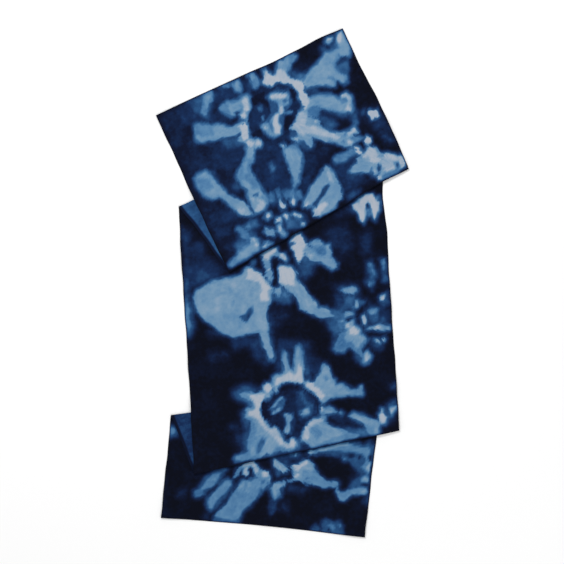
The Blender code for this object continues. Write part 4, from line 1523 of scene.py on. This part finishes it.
class Shader:
    """A material's nodes, which end in its Principled BSDF."""

    def __init__(self, name: str) -> None:
        """Make a new material.

        Args:
            name: the material's name.
        """
        self.material = bpy.data.materials.new(name)
        self.material.use_nodes = True
        self.nodes = self.material.node_tree.nodes
        self.links = self.material.node_tree.links
        self.principled = self.nodes["Principled BSDF"]

    def add(
        self,
        kind: str,
        settings: dict[str, Any] | None = None,
        inputs: dict[Any, Any] | None = None,
        output: Any = 0,
    ) -> Value:
        """Add a node.

        Args:
            kind: the node's type.
            settings: its settings, and stops for a colour ramp.
            inputs: the values or links of its sockets, by name or number.
            output: the socket to return, by name or number.

        Returns:
            The output.
        """
        node = self.nodes.new(kind)
        settings = dict(settings or {})
        stops = settings.pop("stops", None)
        for name, setting in settings.items():
            setattr(node, name, setting)
        if stops:
            ramp = node.color_ramp
            for place, _ in stops[2:]:
                ramp.elements.new(place)
            for element, (place, colour) in zip(ramp.elements, stops):
                element.position, element.color = place, colour
        for key, value in (inputs or {}).items():
            self.connect(node.inputs[key], value)
        return Value(self, node.outputs[output])

    def connect(self, socket: bpy.types.NodeSocket, value: Any) -> None:
        """Link a value to a socket, or set the socket to it.

        Args:
            socket: an input of a node.
            value: a node's output, or a plain value.
        """
        if isinstance(value, Value):
            self.links.new(value.socket, socket)
        else:
            socket.default_value = value

    def finish(self, **sockets: Any) -> bpy.types.Material:
        """Feed the Principled BSDF.

        Args:
            sockets: its values or links, by socket name with underscores for spaces.

        Returns:
            The material.
        """
        for name, value in sockets.items():
            self.connect(self.principled.inputs[name.replace("_", " ")], value)
        return self.material


@dataclass(frozen=True)
class Noise:
    """Soft noise about 0, from -0.5 to 0.5: how fine, with how many finer ones, and how rough."""

    scale: float
    detail: float
    roughness: float = 0.55

    def at(self, place: Value) -> Value:
        """Add the noise to a place's shader.

        Args:
            place: the vector that it varies with.

        Returns:
            The noise.
        """
        numbers = {"Scale": self.scale, "Detail": self.detail, "Roughness": self.roughness}
        inputs = {"Vector": place, **numbers}
        return place.shader.add("ShaderNodeTexNoise", inputs=inputs) - 0.5


@dataclass(frozen=True)
class IndigoCotton:
    """Plain-weave cotton, tied and dyed in indigo.

    A level is how little dye the cotton took, from 0, the darkest, to 1, undyed, less the painted
    shade at the creases. A pair of weights is for the mottle and the grain, and a range is where a
    smooth rise starts and ends.

    Args:
        scale: the colours of the levels.
        mottle: the broad unevenness of the dye.
        grain: its fine unevenness.
        teeth: how the dye runs into a mark along a sun's rays.
        streaks: the threads along the rays.
        fringe: the unevenness all round a mark.
        nap: the unevenness of the roughness.
        slubs: the thick threads of the weave.
        teeth_length: in mm, as are the fringe's length, bleed and the edges.
        teeth_near: where the teeth grow, in ray units from a hub.
        teeth_far: where they shrink again, by the share teeth_loss.
        edge_blur: how far the edge of a mark as dark as the ground is blurred, each way.
        edge_crisp: how much less that is on an undyed mark.
        border_range: how far in from its edges the cloth is darker, in metres.
        border_share: what is left of its level at the edge.
        back_fall: how much darker the back is towards the lower end.
        back_trace: how much of the face's level shows on the back.
        thread: the pitch of the weave, in metres.
    """

    scale: tuple[tuple[float, tuple[int, int, int]], ...] = (
        (0.00, (7, 10, 23)),
        (0.08, (12, 21, 46)),
        (0.18, (20, 43, 82)),
        (0.30, (36, 75, 119)),
        (0.42, (57, 102, 146)),
        (0.55, (84, 126, 163)),
        (0.68, (109, 142, 170)),
        (0.80, (133, 155, 177)),
        (0.90, (151, 165, 181)),
        (1.00, (163, 171, 183)),
    )
    mottle: Noise = Noise(30.0, 4.0)
    grain: Noise = Noise(150.0, 2.0)
    teeth: Noise = Noise(8.0, 2.0)
    streaks: Noise = Noise(12.0, 1.0)
    fringe: Noise = Noise(190.0, 2.0)
    nap: Noise = Noise(90.0, 2.0)
    slubs: tuple[Noise, Noise] = (Noise(420.0, 2.0), Noise(55.0, 2.0))
    ground_level: float = 0.01
    ground_weights: tuple[float, float] = (0.16, 0.10)
    cloud_share: float = 0.95
    cloud_mottle: float = 1.3
    teeth_length: float = 13.0
    teeth_near: tuple[float, float] = (0.0, 0.35)
    teeth_far: tuple[float, float] = (0.6, 0.95)
    teeth_loss: float = 0.6
    fringe_length: float = 3.0
    bleed: float = 0.3
    edge_blur: float = 3.2
    edge_crisp: float = 1.5
    streak_share: float = 0.30
    mottle_share: float = 0.30
    mark_weights: tuple[float, float] = (0.10, 0.12)
    border_range: tuple[float, float] = (0.0006, 0.0030)
    border_share: float = 0.45
    back_level: float = 0.28
    back_fall: float = 0.09
    back_fall_range: tuple[float, float] = (0.5, 0.8)
    back_trace: float = 0.08
    back_weights: tuple[float, float] = (0.30, 0.16)
    back_border: tuple[float, float] = (0.0030, 0.0068)
    back_border_share: float = 0.22
    thread: float = 0.00055
    weave_strength: float = 0.35
    weave_depth: float = 0.0002
    slub_height: float = 1.2
    roughness: float = 0.86
    nap_share: float = 0.08
    gloss: float = 0.05
    sheen: float = 0.01
    sheen_roughness: float = 0.6

    def material(self) -> bpy.types.Material:
        """Make the material, which reads the sheet's own map and numbers.

        Returns:
            The material.
        """
        shader = Shader("indigo_cotton_cloth")
        plan = shader.add("ShaderNodeUVMap", {"uv_map": PLAN_UV})
        across = shader.add("ShaderNodeSeparateXYZ", inputs={0: plan}, output="X")
        along = shader.add("ShaderNodeSeparateXYZ", inputs={0: plan}, output="Y")
        level = self.dye_and_shade_level(shader, plan, across, along)
        stops = [(place, linear(colour)) for place, colour in self.scale]
        colour = shader.add("ShaderNodeValToRGB", {"stops": stops}, {"Fac": level}, "Color")
        return shader.finish(
            Base_Color=colour,
            Roughness=self.roughness + self.nap_share * self.nap.at(plan),
            Normal=self.weave(shader, plan, across, along),
            Specular_IOR_Level=self.gloss,
            Sheen_Weight=self.sheen,
            Sheen_Roughness=self.sheen_roughness,
        )

    def carried(self, shader: Shader, name: Field, output: str = "Fac") -> Value:
        """Return a number or a vector that the sheet carries."""
        settings = {"attribute_type": "GEOMETRY", "attribute_name": name.value}
        return shader.add("ShaderNodeAttribute", settings, output=output)

    def dye_and_shade_level(self, shader: Shader, plan: Value, across: Value, along: Value) -> Value:
        """Return the level of the whole cloth, face and back, with painted shade at the creases.

        Args:
            shader: the material's shader.
            plan: the place on the flat strip.
            across: the place across it, in metres.
            along: the place along it, in metres.

        Returns:
            The level.
        """
        # The tone, and the cloud below, carry painted shade along the creases.
        tone = self.carried(shader, Field.TONE)
        ray = self.carried(shader, Field.RAY, "Vector")
        mottle, grain = self.mottle.at(plan), self.grain.at(plan)

        def uneven(level: Value, weights: tuple[float, float]) -> Value:
            """Return a level with the mottle and the grain added."""
            return level + weights[0] * mottle + weights[1] * grain

        cloud = self.carried(shader, Field.CLOUD) * (self.cloud_share + self.cloud_mottle * mottle)
        ground = uneven(self.ground_level + cloud, self.ground_weights).most(0.0)
        away = shader.add("ShaderNodeSeparateXYZ", inputs={0: ray}, output="Z")
        reach = away.rise(*self.teeth_near) * (1.0 - self.teeth_loss * away.rise(*self.teeth_far))
        teeth = self.teeth_length * reach * self.teeth.at(ray)
        fray = teeth - self.bleed + self.fringe_length * self.fringe.at(plan)
        depth = self.carried(shader, Field.DEPTH) + fray
        blur = self.edge_blur - self.edge_crisp * tone
        streaks = self.streak_share * self.streaks.at(ray)
        mark = uneven(tone * (1.0 + streaks + self.mottle_share * mottle), self.mark_weights)
        level = ground.toward(mark, depth.rise(0.0 - blur, blur))

        sides = STRIP_WIDTH / 2 - across.abs()
        inward = sides.least(along).least(STRIP_LENGTH - along)
        level = level * inward.rise_from(self.border_share, *self.border_range)
        back = self.back_level - self.back_fall * along.rise(*self.back_fall_range)
        back = uneven(back + self.back_trace * level, self.back_weights)
        back = back * sides.rise_from(self.back_border_share, *self.back_border)
        return back.toward(level, self.carried(shader, Field.FACE))

    def weave(self, shader: Shader, plan: Value, across: Value, along: Value) -> Value:
        """Return the normal of a plain weave, over and under, with a few thick threads.

        Args:
            shader: the material's shader.
            plan: the place on the flat strip.
            across: the place across it, in metres.
            along: the place along it, in metres.

        Returns:
            The normal.
        """
        turn = math.pi / self.thread
        warp, weft = (across * turn).sin(), (along * turn).sin()
        over = (warp * weft).above(0.0)
        threads = weft.abs().toward(warp.abs(), over)
        small, large = (slub.at(plan) for slub in self.slubs)
        inputs = {
            "Strength": self.weave_strength,
            "Distance": self.weave_depth,
            "Height": threads + self.slub_height * (small + large),
        }
        return shader.add("ShaderNodeBump", inputs=inputs, output="Normal")


@dataclass(frozen=True)
class PaleFloor:
    """A smooth, nearly white studio floor, with patches that are a shade darker."""

    albedo: float = 0.93
    shade: float = 0.02
    patch_scale: float = 1.5
    roughness: float = 0.8

    def material(self) -> bpy.types.Material:
        """Make the floor's material, with a trace of unevenness.

        Returns:
            The material.
        """
        shader = Shader("pale_floor")
        place = shader.add("ShaderNodeTexCoord", output="Object")
        inputs = {"Vector": place, "Scale": self.patch_scale}
        patches = shader.add("ShaderNodeTexNoise", inputs=inputs)
        white, shaded = ((grey, grey, grey, 1.0) for grey in (self.albedo, self.albedo - self.shade))
        settings = {"data_type": "RGBA"}
        colour = shader.add("ShaderNodeMix", settings, {0: patches, 6: white, 7: shaded}, 2)
        return shader.finish(Base_Color=colour, Roughness=self.roughness)


@dataclass(frozen=True)
class Softbox:
    """A square light that faces the middle of the cloth."""

    name: str
    place: tuple[float, float, float]
    side: float
    power: float

    def build(self) -> bpy.types.Object:
        """Make the light.

        Returns:
            Its object.
        """
        data = bpy.data.lights.new(self.name, "AREA")
        data.shape = "SQUARE"
        data.size = self.side
        data.energy = self.power
        light = in_scene(self.name, data)
        light.location = self.place
        light.rotation_euler = (-Vector(self.place)).to_track_quat("-Z", "Y").to_euler()
        return light


@dataclass(frozen=True)
class Studio:
    """The floor, the soft light, and a camera that looks straight down, as in the photograph.

    Args:
        pixels: the photograph's width and height.
        pixel_size: what one of its pixels covers at the cloth, in metres.
        centre: the pixel that the middle of the cloth's footprint falls on.
        lens: the focal length, in mm.
        sensor: the sensor's width, in mm.
        sky: how bright the light from all round is.
    """

    pixels: int = 564
    pixel_size: float = STRIP_WIDTH / STRIP_WIDTH_PIXELS
    centre: tuple[float, float] = (282.2, 282.85)
    lens: float = 85.0
    sensor: float = 36.0
    floor_side: float = 9.0
    sky: float = 0.60
    boxes: tuple[Softbox, ...] = (
        Softbox("key_light", (-0.9, 1.7, 2.2), 0.7, 40.0),
        Softbox("fill_light", (1.2, -1.4, 2.6), 2.0, 26.5),
    )

    def floor(self) -> bpy.types.Object:
        """Make the floor, just under the cloth.

        Returns:
            Its object.
        """
        shape = bmesh.new()
        bmesh.ops.create_grid(shape, x_segments=2, y_segments=2, size=self.floor_side / 2)
        mesh = bpy.data.meshes.new("studio_floor")
        shape.to_mesh(mesh)
        shape.free()
        mesh.materials.append(PaleFloor().material())
        floor = in_scene("studio_floor", mesh)
        return floor

    def camera(self) -> bpy.types.Object:
        """Make the camera, over the place that the photograph's middle shows.

        Returns:
            Its object, which is the scene's camera.
        """
        data = bpy.data.cameras.new("photo_camera")
        data.lens = self.lens
        data.sensor_width = self.sensor
        view = self.pixels * self.pixel_size
        camera = in_scene("photo_camera", data)
        middle = self.pixels / 2
        camera.location = (
            (middle - self.centre[0]) * self.pixel_size,
            (self.centre[1] - middle) * self.pixel_size,
            view * self.lens / self.sensor,
        )
        bpy.context.scene.camera = camera
        return camera

    def world(self) -> None:
        """Light the scene evenly from all round."""
        world = bpy.data.worlds.new("studio_sky")
        world.use_nodes = True
        sky = world.node_tree.nodes["Background"]
        sky.inputs["Color"].default_value = (1.0, 1.0, 1.0, 1.0)
        sky.inputs["Strength"].default_value = self.sky
        bpy.context.scene.world = world

    def build(self) -> None:
        """Make the whole studio."""
        self.camera()
        self.floor()
        self.world()
        for box in self.boxes:
            box.build()
        view = bpy.context.scene.view_settings
        view.view_transform = "Standard"
        view.look = "None"
        view.exposure = 0.0


def main() -> None:
    """Build the studio and the cloth, and report each piece."""
    logging.basicConfig(level=logging.INFO, format="%(name)s: %(message)s")
    Studio().build()
    cloth = ClothSheet()
    sheet = cloth.build(IndigoCotton().material())
    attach(sheet, "root")
    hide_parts(CLOTH_NODE)
    LOG.info("%s: %d faces", sheet.name, len(sheet.data.polygons))


if __name__ == "__main__":
    main()
